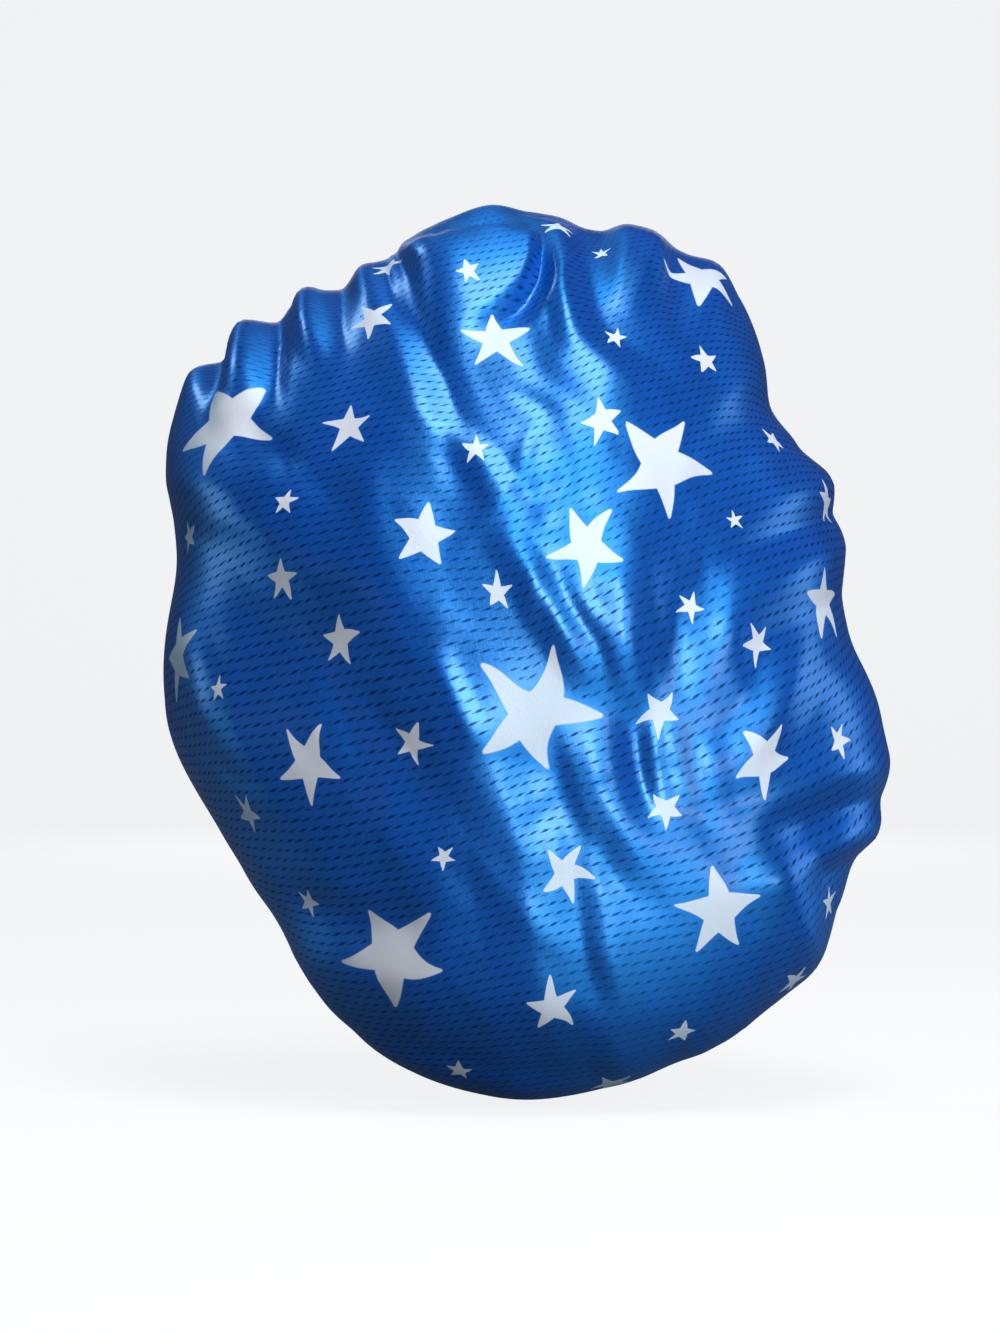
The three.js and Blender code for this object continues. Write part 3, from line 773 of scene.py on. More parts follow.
def lay_print(mesh, corners, stars, bend=(0, 0)):
    """Writes both UV maps of a printed sheet, given each face's corners on the flat cloth. The bend is how
    much more steeply the rows climb for each metre to the right and for each metre up."""
    slope = PRINT_SLOPE + corners @ np.array(bend)
    ahead, aside = np.cos(slope), np.sin(slope)
    rows = np.stack([
        corners[..., 0] * ahead + corners[..., 1] * aside,
        corners[..., 1] * ahead - corners[..., 0] * aside,
    ], axis=-1)
    write_uv(mesh, CLOTH_UV, rows)
    write_uv(mesh, STAR_UV, around_stars(corners, stars))


# Making objects


def start_clean():
    """Leaves edit mode and deselects everything."""
    if bpy.context.object and bpy.context.object.mode != "OBJECT":
        bpy.ops.object.mode_set(mode="OBJECT")
    bpy.ops.object.select_all(action="DESELECT")


def make_active(piece):
    start_clean()
    piece.select_set(True)
    bpy.context.view_layer.objects.active = piece


def sheet_object(name, points, faces):
    """A smooth-shaded object with these points and faces."""
    mesh = bpy.data.meshes.new(name)
    mesh.from_pydata(points.tolist(), [], faces.tolist())
    mesh.shade_smooth()
    piece = bpy.data.objects.new(name, mesh)
    bpy.context.scene.collection.objects.link(piece)
    return piece


def give_thickness(piece, thickness):
    """Turns a sheet into cloth with a wall, measured inwards from the sheet."""
    make_active(piece)
    wall = piece.modifiers.new("Thickness", "SOLIDIFY")
    wall.thickness = thickness
    wall.offset = -1
    bpy.ops.object.modifier_apply(modifier=wall.name)


def dress(piece, material, slot, *nodes):
    """Gives a piece its finish and puts it in the place of its nodes."""
    piece.data.materials.clear()
    piece.data.materials.append(material)
    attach(piece, ROOT)
    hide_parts(*nodes)


# Materials


class NodeBench:
    """Adds nodes to one tree and joins them."""

    def __init__(self, tree):
        self.tree = tree

    def add(self, kind, inputs=(), **settings):
        node = self.tree.nodes.new(kind)
        for name, value in settings.items():
            setattr(node, name, value)
        self.fill(node, dict(inputs))
        return node

    def fill(self, node, inputs):
        for name, value in inputs.items():
            self.feed(node.inputs[name], value)

    def feed(self, socket, value):
        if isinstance(value, bpy.types.NodeSocket):
            self.tree.links.new(value, socket)
        else:
            socket.default_value = value

    def math(self, operation, a, b=0.0, c=0.0):
        return self.add("ShaderNodeMath", {0: a, 1: b, 2: c}, operation=operation).outputs[0]

    def fade(self, value, low, high, to_low=0.0, to_high=1.0):
        """An S curve from to_low at low to to_high at high."""
        inputs = {"Value": value, 1: low, 2: high, 3: to_low, 4: to_high}
        return self.add("ShaderNodeMapRange", inputs, interpolation_type="SMOOTHSTEP").outputs[0]

    def mix(self, factor, a, b, blend="MIX"):
        inputs = {0: factor, 6: a, 7: b}
        return self.add("ShaderNodeMix", inputs, data_type="RGBA", blend_type=blend).outputs[2]

    def noise(self, vector, scale, detail=2.0, roughness=0.5):
        inputs = {"Vector": vector, "Scale": scale, "Detail": detail, "Roughness": roughness}
        return self.add("ShaderNodeTexNoise", inputs).outputs

    def vector_math(self, operation, a, b, c=(0, 0, 0)):
        return self.add("ShaderNodeVectorMath", {0: a, 1: b, 2: c}, operation=operation).outputs[0]

    def scaled(self, vector, factors):
        return self.vector_math("MULTIPLY", vector, factors)

    def bump(self, height, strength, distance):
        inputs = {"Height": height, "Strength": strength, "Distance": distance}
        return self.add("ShaderNodeBump", inputs).outputs[0]

    def uv(self, name):
        return self.add("ShaderNodeUVMap", uv_map=name).outputs[0]

    def parts(self, vector):
        return self.add("ShaderNodeSeparateXYZ", {0: vector}).outputs


def new_group(name, sockets):
    """A shader node group with named sockets, given as (name, in or out, type)."""
    group = bpy.data.node_groups.new(name, "ShaderNodeTree")
    for label, way, kind in sockets:
        group.interface.new_socket(name=label, in_out=way, socket_type=kind)
    bench = NodeBench(group)
    return group, bench, bench.add("NodeGroupInput").outputs, bench.add("NodeGroupOutput").inputs


def new_material(name):
    material = bpy.data.materials.new(name)
    material.use_nodes = True
    shader = material.node_tree.nodes["Principled BSDF"]
    return material, NodeBench(material.node_tree), shader


WARP_SCALE = (3200, 260, 1)
WEFT_SCALE = (400, 2600, 1)
WEFT_SHARE = 0.5
CREPE_SCALE = 620.0
CREPE_SHARE = 2.0
STREAK_SCALE = (38, 14, 1)


def satin_weave_group():
    """Fine floats of satin yarn: a height for bump, and a streak and a grain for colour and gloss."""
    name = "Satin Weave"
    if name in bpy.data.node_groups:
        return bpy.data.node_groups[name]
    group, bench, given, made = new_group(name, (
        ("Cloth", "INPUT", "NodeSocketVector"),
        ("Height", "OUTPUT", "NodeSocketFloat"),
        ("Streak", "OUTPUT", "NodeSocketFloat"),
        ("Grain", "OUTPUT", "NodeSocketFloat"),
    ))
    warp = bench.noise(bench.scaled(given["Cloth"], WARP_SCALE), 1.0, detail=1.0)[0]
    weft = bench.noise(bench.scaled(given["Cloth"], WEFT_SCALE), 1.0, detail=1.0)[0]
    crepe = bench.noise(given["Cloth"], CREPE_SCALE, detail=3.0)[0]
    yarns = bench.math("MULTIPLY_ADD", weft, WEFT_SHARE, warp)
    bench.feed(made["Height"], bench.math("MULTIPLY_ADD", crepe, CREPE_SHARE, yarns))
    bench.feed(made["Grain"], crepe)
    streak = bench.noise(bench.scaled(given["Cloth"], STREAK_SCALE), 1.0, detail=3.0)[0]
    bench.feed(made["Streak"], streak)
    return group


# The shape of a star, in shares of the radius to its tips.
STAR_ARMS = 5
STAR_HOLLOW = 0.385
STAR_TIP_CUT = 0.93
STAR_ROUNDING = 0.06
STAR_EDGE = 0.012
STAR_MARGIN = (0.12, 0.05)
STAR_WOBBLE = 0.5
# How fast the wobble changes across a star's radius, and over a metre of cloth.
WOBBLE_ON_STAR = 0.7
WOBBLE_ON_CLOTH = 9


def star_mask(bench, cloth):
    """Two masks: 1 inside the printed stars, and 1 inside them and the clear margin around them. The arms
    are folded onto half of one arm, whose edge is a line, and a slow wobble makes each star uneven."""
    local = bench.uv(STAR_UV)
    on_cloth = bench.scaled(cloth, (WOBBLE_ON_CLOTH, WOBBLE_ON_CLOTH, 0))
    own = bench.vector_math("MULTIPLY_ADD", local, (WOBBLE_ON_STAR, WOBBLE_ON_STAR, 0), on_cloth)
    wobble = bench.vector_math("SUBTRACT", bench.noise(own, 1.0, detail=0.0)[1], (0.5, 0.5, 0.5))
    place = bench.vector_math("MULTIPLY_ADD", wobble, (STAR_WOBBLE, STAR_WOBBLE, 0), local)
    x, y = bench.parts(place)[:2]
    squares = bench.math("ADD", bench.math("MULTIPLY", x, x), bench.math("MULTIPLY", y, y))
    radius = bench.math("SQRT", squares)
    half_arm = math.pi / STAR_ARMS
    arm = bench.math("PINGPONG", bench.math("ARCTAN2", x, y), half_arm)
    ahead = bench.math("MULTIPLY", radius, bench.math("COSINE", arm))
    aside = bench.math("MULTIPLY", radius, bench.math("SINE", arm))
    hollow = Vector((STAR_HOLLOW * math.cos(half_arm), STAR_HOLLOW * math.sin(half_arm)))
    edge = (hollow - Vector((1, 0))).normalized()
    across = Vector((edge.y, -edge.x))
    reach = bench.math("MULTIPLY_ADD", ahead, across.x, bench.math("MULTIPLY", aside, across.y))
    over_edge = bench.math("SUBTRACT", reach, across.x)
    over_tip = bench.math("SUBTRACT", radius, STAR_TIP_CUT)
    outside = bench.math("SMOOTH_MAX", over_edge, over_tip, STAR_ROUNDING)
    return bench.fade(outside, STAR_EDGE, -STAR_EDGE), bench.fade(outside, *STAR_MARGIN)


# The shape of a dash in shares of the two pitches, its sway in metres, and how uneven its ink is.
DASH_BOLD = 0.13
DASH_FINE = 0.045
DASH_TAPER = (0.32, 0.1)
DASH_SLANT = 0.3
DASH_EDGE = 0.05
DASH_ROW_SHIFT = 0.39
DASH_SWAY = 0.0022
DASH_SWAY_SCALE = 22.0
INK_SCALE = 240.0
INK_SPREAD = (0.38, 0.62)
INK_LEAST = 0.7


def dash_mask(bench, cloth, colours):
    """1 on the fine printed dashes: rows of slanted marks, each with a thin tail to the next. Each row is
    shifted along by the same share of a dash from the one below, and the ink is uneven."""
    drift = bench.math("SUBTRACT", bench.noise(cloth, DASH_SWAY_SCALE)[0], 0.5)
    sway = bench.math("MULTIPLY", drift, DASH_SWAY)
    u, v = bench.parts(cloth)[:2]
    row_place = bench.math("DIVIDE", bench.math("ADD", v, sway), colours.row_pitch)
    row = bench.math("FLOOR", row_place)
    height = bench.math("SUBTRACT", bench.math("FRACT", row_place), 0.5)
    shift = bench.math("MULTIPLY", row, DASH_ROW_SHIFT)
    swayed = bench.math("DIVIDE", bench.math("ADD", u, sway), colours.dash_pitch)
    along = bench.math("FRACT", bench.math("ADD", swayed, shift))
    middle = bench.math("SUBTRACT", along, 0.5)
    line = bench.math("MULTIPLY", middle, DASH_SLANT)
    bold = bench.fade(bench.math("ABSOLUTE", middle), *DASH_TAPER, DASH_FINE, DASH_BOLD)
    off = bench.math("SUBTRACT", bench.math("ABSOLUTE", bench.math("SUBTRACT", height, line)), bold)
    ink = bench.fade(bench.noise(cloth, INK_SCALE)[0], *INK_SPREAD, INK_LEAST, 1.0)
    return bench.math("MULTIPLY", bench.fade(off, DASH_EDGE, -DASH_EDGE), ink)


GRAIN_SPREAD = (0.3, 0.7)
STREAK_SPREAD = (0.25, 0.75)
GLOSS_SPREAD = (0.2, 0.8)
TONES = (0.86, 1.14)
DASH_COVER = 0.8
GROUND_METAL = 0.3
DASH_METAL = 0.42
STAR_METAL_SHARE = 0.1
SATIN_ROUGHNESS = (0.36, 0.42)
GRAIN_ROUGHNESS = 0.06
PRINT_ROUGHNESS = 0.3
COAT_GROUND_AND_PRINT = (0.4, 0.04)


def printed_satin(colours):
    """Glossy satin with stars and rows of dashes, which dull its gloss."""
    name = "Printed Satin"
    if name in bpy.data.materials:
        return bpy.data.materials[name]
    material, bench, shader = new_material(name)
    cloth = bench.uv(CLOTH_UV)
    weave = bench.add("ShaderNodeGroup", {"Cloth": cloth}, node_tree=satin_weave_group())
    streak = weave.outputs["Streak"]
    star, halo = star_mask(bench, cloth)
    dash = bench.math("MULTIPLY", dash_mask(bench, cloth, colours), bench.math("SUBTRACT", 1.0, halo))
    grain = bench.fade(weave.outputs["Grain"], *GRAIN_SPREAD, *TONES)
    tone = bench.math("MULTIPLY", bench.fade(streak, *STREAK_SPREAD, *TONES), grain)
    grey = bench.add("ShaderNodeCombineColor", {0: tone, 1: tone, 2: tone}).outputs[0]
    ground = bench.mix(1.0, tuple(colours.satin), grey, "MULTIPLY")
    cover = bench.math("MULTIPLY", dash, DASH_COVER)
    dashed = bench.mix(cover, ground, tuple(colours.dash))
    printed = bench.math("MAXIMUM", star, cover)
    metal = bench.math("MULTIPLY_ADD", dash, DASH_METAL, GROUND_METAL)
    gloss = bench.fade(streak, *GLOSS_SPREAD, *SATIN_ROUGHNESS)
    rough = bench.math("ADD", gloss, bench.math("MULTIPLY", grain, GRAIN_ROUGHNESS))
    tangent = bench.add("ShaderNodeTangent", direction_type="UV_MAP", uv_map=CLOTH_UV)
    bench.fill(shader, {
        "Base Color": bench.mix(star, dashed, tuple(colours.star)),
        "Metallic": bench.math("MULTIPLY", metal, bench.fade(star, 1, 0, STAR_METAL_SHARE)),
        "Roughness": bench.math("MULTIPLY_ADD", printed, PRINT_ROUGHNESS, rough),
        "Normal": bench.bump(weave.outputs["Height"], strength=0.2, distance=0.0002),
        "Specular Tint": (0.06, 0.56, 0.9, 1),
        "Specular IOR Level": 1.0,
        "IOR": 2.2,
        "Anisotropic": 0.6,
        "Anisotropic Rotation": 0.25,
        "Tangent": tangent.outputs[0],
        "Coat Weight": bench.fade(printed, 0, 1, *COAT_GROUND_AND_PRINT),
        "Coat Roughness": 0.26,
        "Coat IOR": 1.5,
    })
    return material


def darker(colour, share):
    return (*(channel * share for channel in colour[:3]), 1)


LINING_SHADE = 0.8
LINING_ROUGHNESS = (0.34, 0.42)


def plain_satin(colours):
    material, bench, shader = new_material("Plain Satin")
    weave = bench.add("ShaderNodeGroup", {"Cloth": bench.uv(CLOTH_UV)}, node_tree=satin_weave_group())
    streak = weave.outputs["Streak"]
    lining = tuple(colours.lining)
    bench.fill(shader, {
        "Base Color": bench.mix(bench.fade(streak, *STREAK_SPREAD), darker(lining, LINING_SHADE), lining),
        "Roughness": bench.fade(streak, *GLOSS_SPREAD, *LINING_ROUGHNESS),
        "Normal": bench.bump(weave.outputs["Height"], strength=0.15, distance=0.00012),
        "Specular Tint": (0.3, 0.55, 1, 1),
        "Anisotropic": 0.4,
        "Sheen Weight": 0.1,
        "Sheen Tint": (0.4, 0.6, 1, 1),
    })
    return material


# The elastic's yarns and rows, and below them the lay of the thread, in metres.
ELASTIC_YARN = 0.0011
ELASTIC_ROW = 0.0009
# Share of the elastic's colour left in the grooves between its yarns, as painted shade.
ELASTIC_GROOVE_SHADE = 0.78
ELASTIC_FUZZ_SCALE = 900.0
ELASTIC_ROUGHNESS = (0.7, 0.85)


def woven_elastic(colours):
    material, bench, shader = new_material("Woven Elastic")
    cloth = bench.uv(CLOTH_UV)
    u, v = bench.parts(cloth)[:2]
    yarn = bench.math("SINE", bench.math("MULTIPLY", u, TURN / ELASTIC_YARN))
    cross = bench.math("SINE", bench.math("MULTIPLY", v, TURN / ELASTIC_ROW))
    knit = bench.math("MULTIPLY", yarn, cross)
    fuzz = bench.noise(cloth, ELASTIC_FUZZ_SCALE)[0]
    elastic = tuple(colours.elastic)
    bench.fill(shader, {
        # Painted shade: the colour darkens where the knit is low, in the grooves between the yarns,
        # following the bump.
        "Base Color": bench.mix(bench.fade(knit, -1, 1), darker(elastic, ELASTIC_GROOVE_SHADE), elastic),
        "Roughness": bench.fade(fuzz, *GRAIN_SPREAD, *ELASTIC_ROUGHNESS),
        "Normal": bench.bump(knit, strength=0.5, distance=0.0002),
    })
    return material


THREAD_LAY = 0.0006
THREAD_PLIES = 2
# Share of the thread's colour left in the grooves between its plies, as painted shade.
THREAD_GROOVE_SHADE = 0.55
THREAD_ROUGHNESS = (0.62, 0.45)


def thread_twist_group():
    """The slanted plies of sewing thread, on the thread's own UV map."""
    name = "Thread Twist"
    if name in bpy.data.node_groups:
        return bpy.data.node_groups[name]
    group, bench, given, made = new_group(name, (
        ("Thread", "INPUT", "NodeSocketVector"),
        ("Ply", "OUTPUT", "NodeSocketFloat"),
    ))
    u, v = bench.parts(given["Thread"])[:2]
    round_thread = bench.math("MULTIPLY", v, THREAD_PLIES * TURN)
    slant = bench.math("MULTIPLY_ADD", u, TURN / THREAD_LAY, round_thread)
    bench.feed(made["Ply"], bench.math("MULTIPLY_ADD", bench.math("SINE", slant), 0.5, 0.5))
    return group


def sewing_thread(name, colour):
    if name in bpy.data.materials:
        return bpy.data.materials[name]
    material, bench, shader = new_material(name)
    twist = bench.add("ShaderNodeGroup", {"Thread": bench.uv(CLOTH_UV)}, node_tree=thread_twist_group())
    ply = twist.outputs["Ply"]
    bench.fill(shader, {
        # Painted shade: the colour darkens where the ply is low, in the grooves of the twist, following the
        # bump.
        "Base Color": bench.mix(ply, darker(colour, THREAD_GROOVE_SHADE), tuple(colour)),
        "Roughness": bench.fade(ply, 0, 1, *THREAD_ROUGHNESS),
        "Normal": bench.bump(ply, strength=0.6, distance=0.0001),
        "Sheen Weight": 0.2,
    })
    return material


PAPER_GRAIN_SCALE = 60.0
PAPER_PALE = (0.9, 0.91, 0.92, 1)
PAPER_GLOW = 0.86
PAPER_GLOW_COLOUR = (0.985, 0.99, 1, 1)
MIRRORED_SHARE = 0.06


def seen_directly(bench):
    """1 where the camera sees a thing, and a small share where cloth mirrors it."""
    path = bench.add("ShaderNodeLightPath").outputs
    mirrored = bench.math("ADD", path["Is Glossy Ray"], path["Is Transmission Ray"])
    return bench.math("MULTIPLY_ADD", mirrored, MIRRORED_SHARE, path["Is Camera Ray"])


def studio_paper(colours):
    """Paper that looks pale to the camera and takes the shadow, but throws little light back."""
    material, bench, shader = new_material("Studio Paper")
    place = bench.add("ShaderNodeTexCoord").outputs["Object"]
    grain = bench.noise(place, PAPER_GRAIN_SCALE, detail=4.0)[0]
    seen = seen_directly(bench)
    pale = bench.mix(grain, tuple(colours.floor), PAPER_PALE)
    bench.fill(shader, {
        "Base Color": bench.mix(seen, tuple(colours.floor_bounce), pale),
        "Roughness": 0.9,
        "Specular IOR Level": 0.1,
    })
    glow = bench.add("ShaderNodeEmission", {"Color": PAPER_GLOW_COLOUR, "Strength": 1.0})
    lit = bench.add("ShaderNodeMixShader", {
        0: bench.math("MULTIPLY", seen, PAPER_GLOW), 1: shader.outputs[0], 2: glow.outputs[0],
    })
    bench.feed(material.node_tree.nodes["Material Output"].inputs["Surface"], lit.outputs[0])
    return material


# Pieces


def bag_layer(name, cloth, face_offset):
    """The outer face of one layer of the bag, face_offset outside the bag's middle surface."""
    return sheet_object(name, cloth.points + cloth.normals * face_offset, cloth.faces)


class BONNET_OT_outer_shell(bpy.types.Operator):
    """Make the printed bag with its folds, gathered into the band"""

    bl_idname = "bonnet.outer_shell"
    bl_label = "Printed Bag"

    def execute(self, context):
        sizes, colours = context.scene.bonnet_sizes, context.scene.bonnet_colours
        cloth = bag_cloth(sizes)
        offset = LAYER_GAP / 2 * MM + sizes.satin_thickness
        shell = bag_layer("printed_bag", cloth, offset)
        lay_print(shell.data, cloth.flat[cloth.faces], star_places(cloth), BAG_BEND)
        give_thickness(shell, sizes.satin_thickness)
        dress(shell, printed_satin(colours), "printed_satin", "outer_shell")
        return {"FINISHED"}


class BONNET_OT_lining(bpy.types.Operator):
    """Make the plain bag that lines the printed one"""

    bl_idname = "bonnet.lining"
    bl_label = "Lining"

    def execute(self, context):
        sizes, colours = context.scene.bonnet_sizes, context.scene.bonnet_colours
        cloth = bag_cloth(sizes)
        lining = bag_layer("plain_lining", cloth, -LAYER_GAP / 2 * MM)
        lay_print(lining.data, cloth.flat[cloth.faces], [])
        give_thickness(lining, sizes.satin_thickness)
        dress(lining, plain_satin(colours), "plain_satin", "lining")
        return {"FINISHED"}


# The ruched band, with its pinch, heights and stars in millimetres.
BAND_COLUMNS = 480
LEG_POINTS = 14
FOLD_POINTS = 12
BAND_PINCH = 1.2
PINCH_START = 6
PINCH_END = 15
MOUTH_FLARE = 0.3
RUCHE_COUNT = 62
RUCHE_HEIGHT = 1.1
RUCHE_SWELL = 0.7
RUCHE_SWAY_WAVES = (3, 5, 8, 13)
RUCHE_SWAY_SIZES = (0.4, 1)
RUCHE_SWAY = 2.5
RUCHE_LEAN = 1.2
FINE_RUCHE_RATIO = 2.4
FINE_RUCHE_HEIGHT = 0.25
FINE_RUCHE_SWAY = 3
RUCHE_SEED = 3
BAND_FULLNESS = 1.25
BAND_STAR_COUNT = 16
BAND_STAR_SHIFT = (0.2, 0.8)
BAND_STAR_ACROSS = (0.05, 0.95)
BAND_STAR_RADII = (5, 15)


def band_half(sizes, inward):
    """Half the band's thickness before ruching: drawn in at the stitching, slightly flared at its mouth."""
    section = band_section(sizes)
    pinch = smooth((inward / MM - PINCH_START) / (PINCH_END - PINCH_START))
    flare = smooth((inward - section.stitch_line) / (section.mouth - section.stitch_line))
    return section.half_thickness - (BAND_PINCH * pinch - MOUTH_FLARE * flare) * MM


def ruche(sizes, turn, inward, side):
    """Height of the small puckers round the band, on its outer or inner side."""
    section = band_section(sizes)
    random = np.random.default_rng(RUCHE_SEED)
    sway = slow_sway(random, turn, RUCHE_SWAY_WAVES, RUCHE_SWAY_SIZES)
    share = np.clip((inward - section.fold_centre) / (section.stitch_line - section.fold_centre), 0, 1)
    wave = 0.5 - 0.5 * np.cos(RUCHE_COUNT * turn + RUCHE_SWAY * sway + RUCHE_LEAN * side * share)
    fine = 0.5 - 0.5 * np.cos(FINE_RUCHE_RATIO * RUCHE_COUNT * turn - FINE_RUCHE_SWAY * sway + side)
    body = np.sin(math.pi * share) ** RUCHE_SWELL
    return (RUCHE_HEIGHT * body * wave + FINE_RUCHE_HEIGHT * (1 + body) * fine) * MM


def band_leg(sizes, turn, inward, side):
    """How far out the band's skin lies on one side of the elastic."""
    return side * (band_half(sizes, inward) + ruche(sizes, turn, inward, side))


class BONNET_OT_band(bpy.types.Operator):
    """Make the ruched strip of printed satin that is folded over the elastic"""

    bl_idname = "bonnet.band"
    bl_label = "Band"

    def execute(self, context):
        sizes, colours = context.scene.bonnet_sizes, context.scene.bonnet_colours
        section = band_section(sizes)
        turn = np.arange(BAND_COLUMNS) / BAND_COLUMNS * TURN
        leg = np.linspace(section.mouth, section.fold_centre, LEG_POINTS)
        rows = []
        for inward in leg:
            rows.append(loop_point(sizes, turn, band_leg(sizes, turn, inward, 1), inward))
        for angle in np.linspace(0, math.pi, FOLD_POINTS + 1)[1:-1]:
            out, over = math.cos(angle), math.sin(angle)
            half = section.half_thickness + ruche(sizes, turn, section.fold_centre, out)
            rows.append(loop_point(sizes, turn, out * half, section.fold_centre - over * half))
        for inward in leg[::-1]:
            rows.append(loop_point(sizes, turn, band_leg(sizes, turn, inward, -1), inward))
        grid = np.stack(rows)
        index = np.arange(grid.shape[0] * BAND_COLUMNS).reshape(grid.shape[0], BAND_COLUMNS)
        after = np.roll(index, -1, axis=1)
        faces = np.stack([index[:-1], index[1:], after[1:], after[:-1]], -1).reshape(-1, 4)
        band = sheet_object("ruched_band", grid.reshape(-1, 3), faces)
        around = sizes.opening_length + sizes.opening_width
        strip = np.arange(BAND_COLUMNS + 1) / BAND_COLUMNS * around * math.pi / 2 * BAND_FULLNESS
        mean_steps = np.linalg.norm(np.diff(grid, axis=0), axis=-1).mean(axis=1)
        across = np.concatenate([[0], np.cumsum(mean_steps)])
        u, v = np.meshgrid(strip, across)
        flat = np.stack([u, v], -1)
        quads = (flat[:-1, :-1], flat[1:, :-1], flat[1:, 1:], flat[:-1, 1:])
        corners = np.stack(quads, axis=2).reshape(-1, 4, 2)
        random = np.random.default_rng(RUCHE_SEED)
        stars = [
            (
                (k + random.uniform(*BAND_STAR_SHIFT)) / BAND_STAR_COUNT * strip[-1],
                random.uniform(*BAND_STAR_ACROSS) * across[-1],
                random.uniform(*BAND_STAR_RADII) * MM,
                random.uniform(0, TURN),
                1.0,
            )
            for k in range(BAND_STAR_COUNT)
        ]
        lay_print(band.data, corners, stars)
        give_thickness(band, sizes.satin_thickness)
        dress(band, printed_satin(colours), "printed_satin", "band_casing")
        return {"FINISHED"}


ELASTIC_STEPS = 360
ELASTIC_RIBS = 10
RIB_POINTS = 4
RIB_DEPTH = 0.16


class BONNET_OT_elastic(bpy.types.Operator):
    """Make the ribbed elastic whose ends lie over each other at the nape"""

    bl_idname = "bonnet.elastic"
    bl_label = "Elastic"

    def execute(self, context):
        sizes, colours = context.scene.bonnet_sizes, context.scene.bonnet_colours
        overlap_turn = sizes.elastic_overlap / (sizes.opening_width / 2)
        share = np.linspace(0, 1, ELASTIC_STEPS + 1)
        turn = NAPE - overlap_turn / 2 + share * (TURN + overlap_turn)
        lift = lerp(-1, 1, share) * (sizes.elastic_thickness + LAYER_GAP * MM) / 2
        count = ELASTIC_RIBS * RIB_POINTS
        width_share = np.linspace(-0.5, 0.5, count + 1)
        groove = RIB_DEPTH * MM * (0.5 + 0.5 * np.cos(TURN * ELASTIC_RIBS * (width_share + 0.5)))
        half = sizes.elastic_thickness / 2 - groove
        section = [(half[k], sizes.elastic_width * width_share[k]) for k in range(count, -1, -1)]
        section += [(-half[k], sizes.elastic_width * width_share[k]) for k in range(count + 1)]
        grid = np.stack([loop_point(sizes, turn, lift + out, inward) for out, inward in section])
        sides = len(section)
        index = np.arange(sides * len(turn)).reshape(sides, len(turn))
        after = np.roll(index, -1, axis=0)
        walls = np.stack([index[:, :-1], after[:, :-1], after[:, 1:], index[:, 1:]], -1).reshape(-1, 4)
        ends = []
        for k in range(count):
            pair = (index[k], index[k + 1], index[sides - 2 - k], index[sides - 1 - k])
            ends.append([side[0] for side in reversed(pair)])
            ends.append([side[-1] for side in pair])
        faces = np.concatenate([walls, ends])
        elastic = sheet_object("elastic_loop", grid.reshape(-1, 3), faces)
        place = np.zeros((sides, len(turn), 2))
        place[..., 0] = turn * (sizes.opening_length + sizes.opening_width) / 4
        place[..., 1] = np.array([inward for _, inward in section])[:, None]
        write_uv(elastic.data, CLOTH_UV, place.reshape(-1, 2)[faces])
        dress(elastic, woven_elastic(colours), "woven_elastic", "elastic_band")
        return {"FINISHED"}


STITCH_SIDES = 8
STITCH_CUTS = 5
STITCH_GAP_SHARE = 0.14
STITCH_DIP = 0.9
STITCH_TAPER = 0.35
RING_STEPS = 8


def one_stitch(length, diameter):
    """One stitch along X: a short thread that arches up between the holes it comes out of."""
    start_clean()
    bpy.ops.mesh.primitive_cylinder_add(
        vertices=STITCH_SIDES, radius=diameter / 2, depth=length, rotation=(0, math.pi / 2, 0)
    )
    stitch = bpy.context.object
    bpy.ops.object.transform_apply(rotation=True)
    bpy.ops.object.mode_set(mode="EDIT")
    bpy.ops.mesh.select_all(action="SELECT")
    bpy.ops.object.mode_set(mode="OBJECT")
    for edge in stitch.data.edges:
        ends = [stitch.data.vertices[v].co.x for v in edge.vertices]
        edge.select = abs(ends[0] - ends[1]) > length / 2
    for polygon in stitch.data.polygons:
        polygon.select = False
    bpy.ops.object.mode_set(mode="EDIT")
    bpy.ops.mesh.select_mode(type="EDGE")
    bpy.ops.mesh.subdivide(number_cuts=STITCH_CUTS)
    bpy.ops.object.mode_set(mode="OBJECT")
    for vertex in stitch.data.vertices:
        share = 2 * vertex.co.x / length
        narrow = 1 - STITCH_TAPER * share**4
        vertex.co.y *= narrow
        vertex.co.z = vertex.co.z * narrow - STITCH_DIP * diameter * share**4
    layer = stitch.data.uv_layers.get("UVMap") or stitch.data.uv_layers.new(name="UVMap")
    layer.name = CLOTH_UV
    for loop in stitch.data.loops:
        co = stitch.data.vertices[loop.vertex_index].co
        layer.data[loop.index].uv = (co.x, math.atan2(co.y, co.z) / TURN)
    bpy.ops.object.shade_smooth()
    return stitch


def stitch_row(name, sizes, path, closed):
    """A row of stitches along path, a list of points at even steps with their outward directions, joined in
    one object."""
    count = len(path) - (0 if closed else 1)
    stitch = None
    copies = []
    for k in range(count):
        (a, out_a), (b, out_b) = path[k], path[(k + 1) % len(path)]
        ahead = (b - a).normalized()
        up = (out_a + out_b).normalized()
        up = (up - ahead * up.dot(ahead)).normalized()
        side = up.cross(ahead)
        place = Matrix((ahead, side, up)).transposed().to_4x4()
        place.translation = (a + b) / 2
        if stitch is None:
            stitch = one_stitch((b - a).length * (1 - STITCH_GAP_SHARE), sizes.thread_diameter)
        mesh = stitch.data.copy()
        mesh.transform(place)
        copy = bpy.data.objects.new(name, mesh)
        bpy.context.scene.collection.objects.link(copy)
        copies.append(copy)
    bpy.data.objects.remove(stitch)
    start_clean()
    for copy in copies:
        copy.select_set(True)
    bpy.context.view_layer.objects.active = copies[0]
    bpy.ops.object.join()
    copies[0].name = name
    return copies[0]


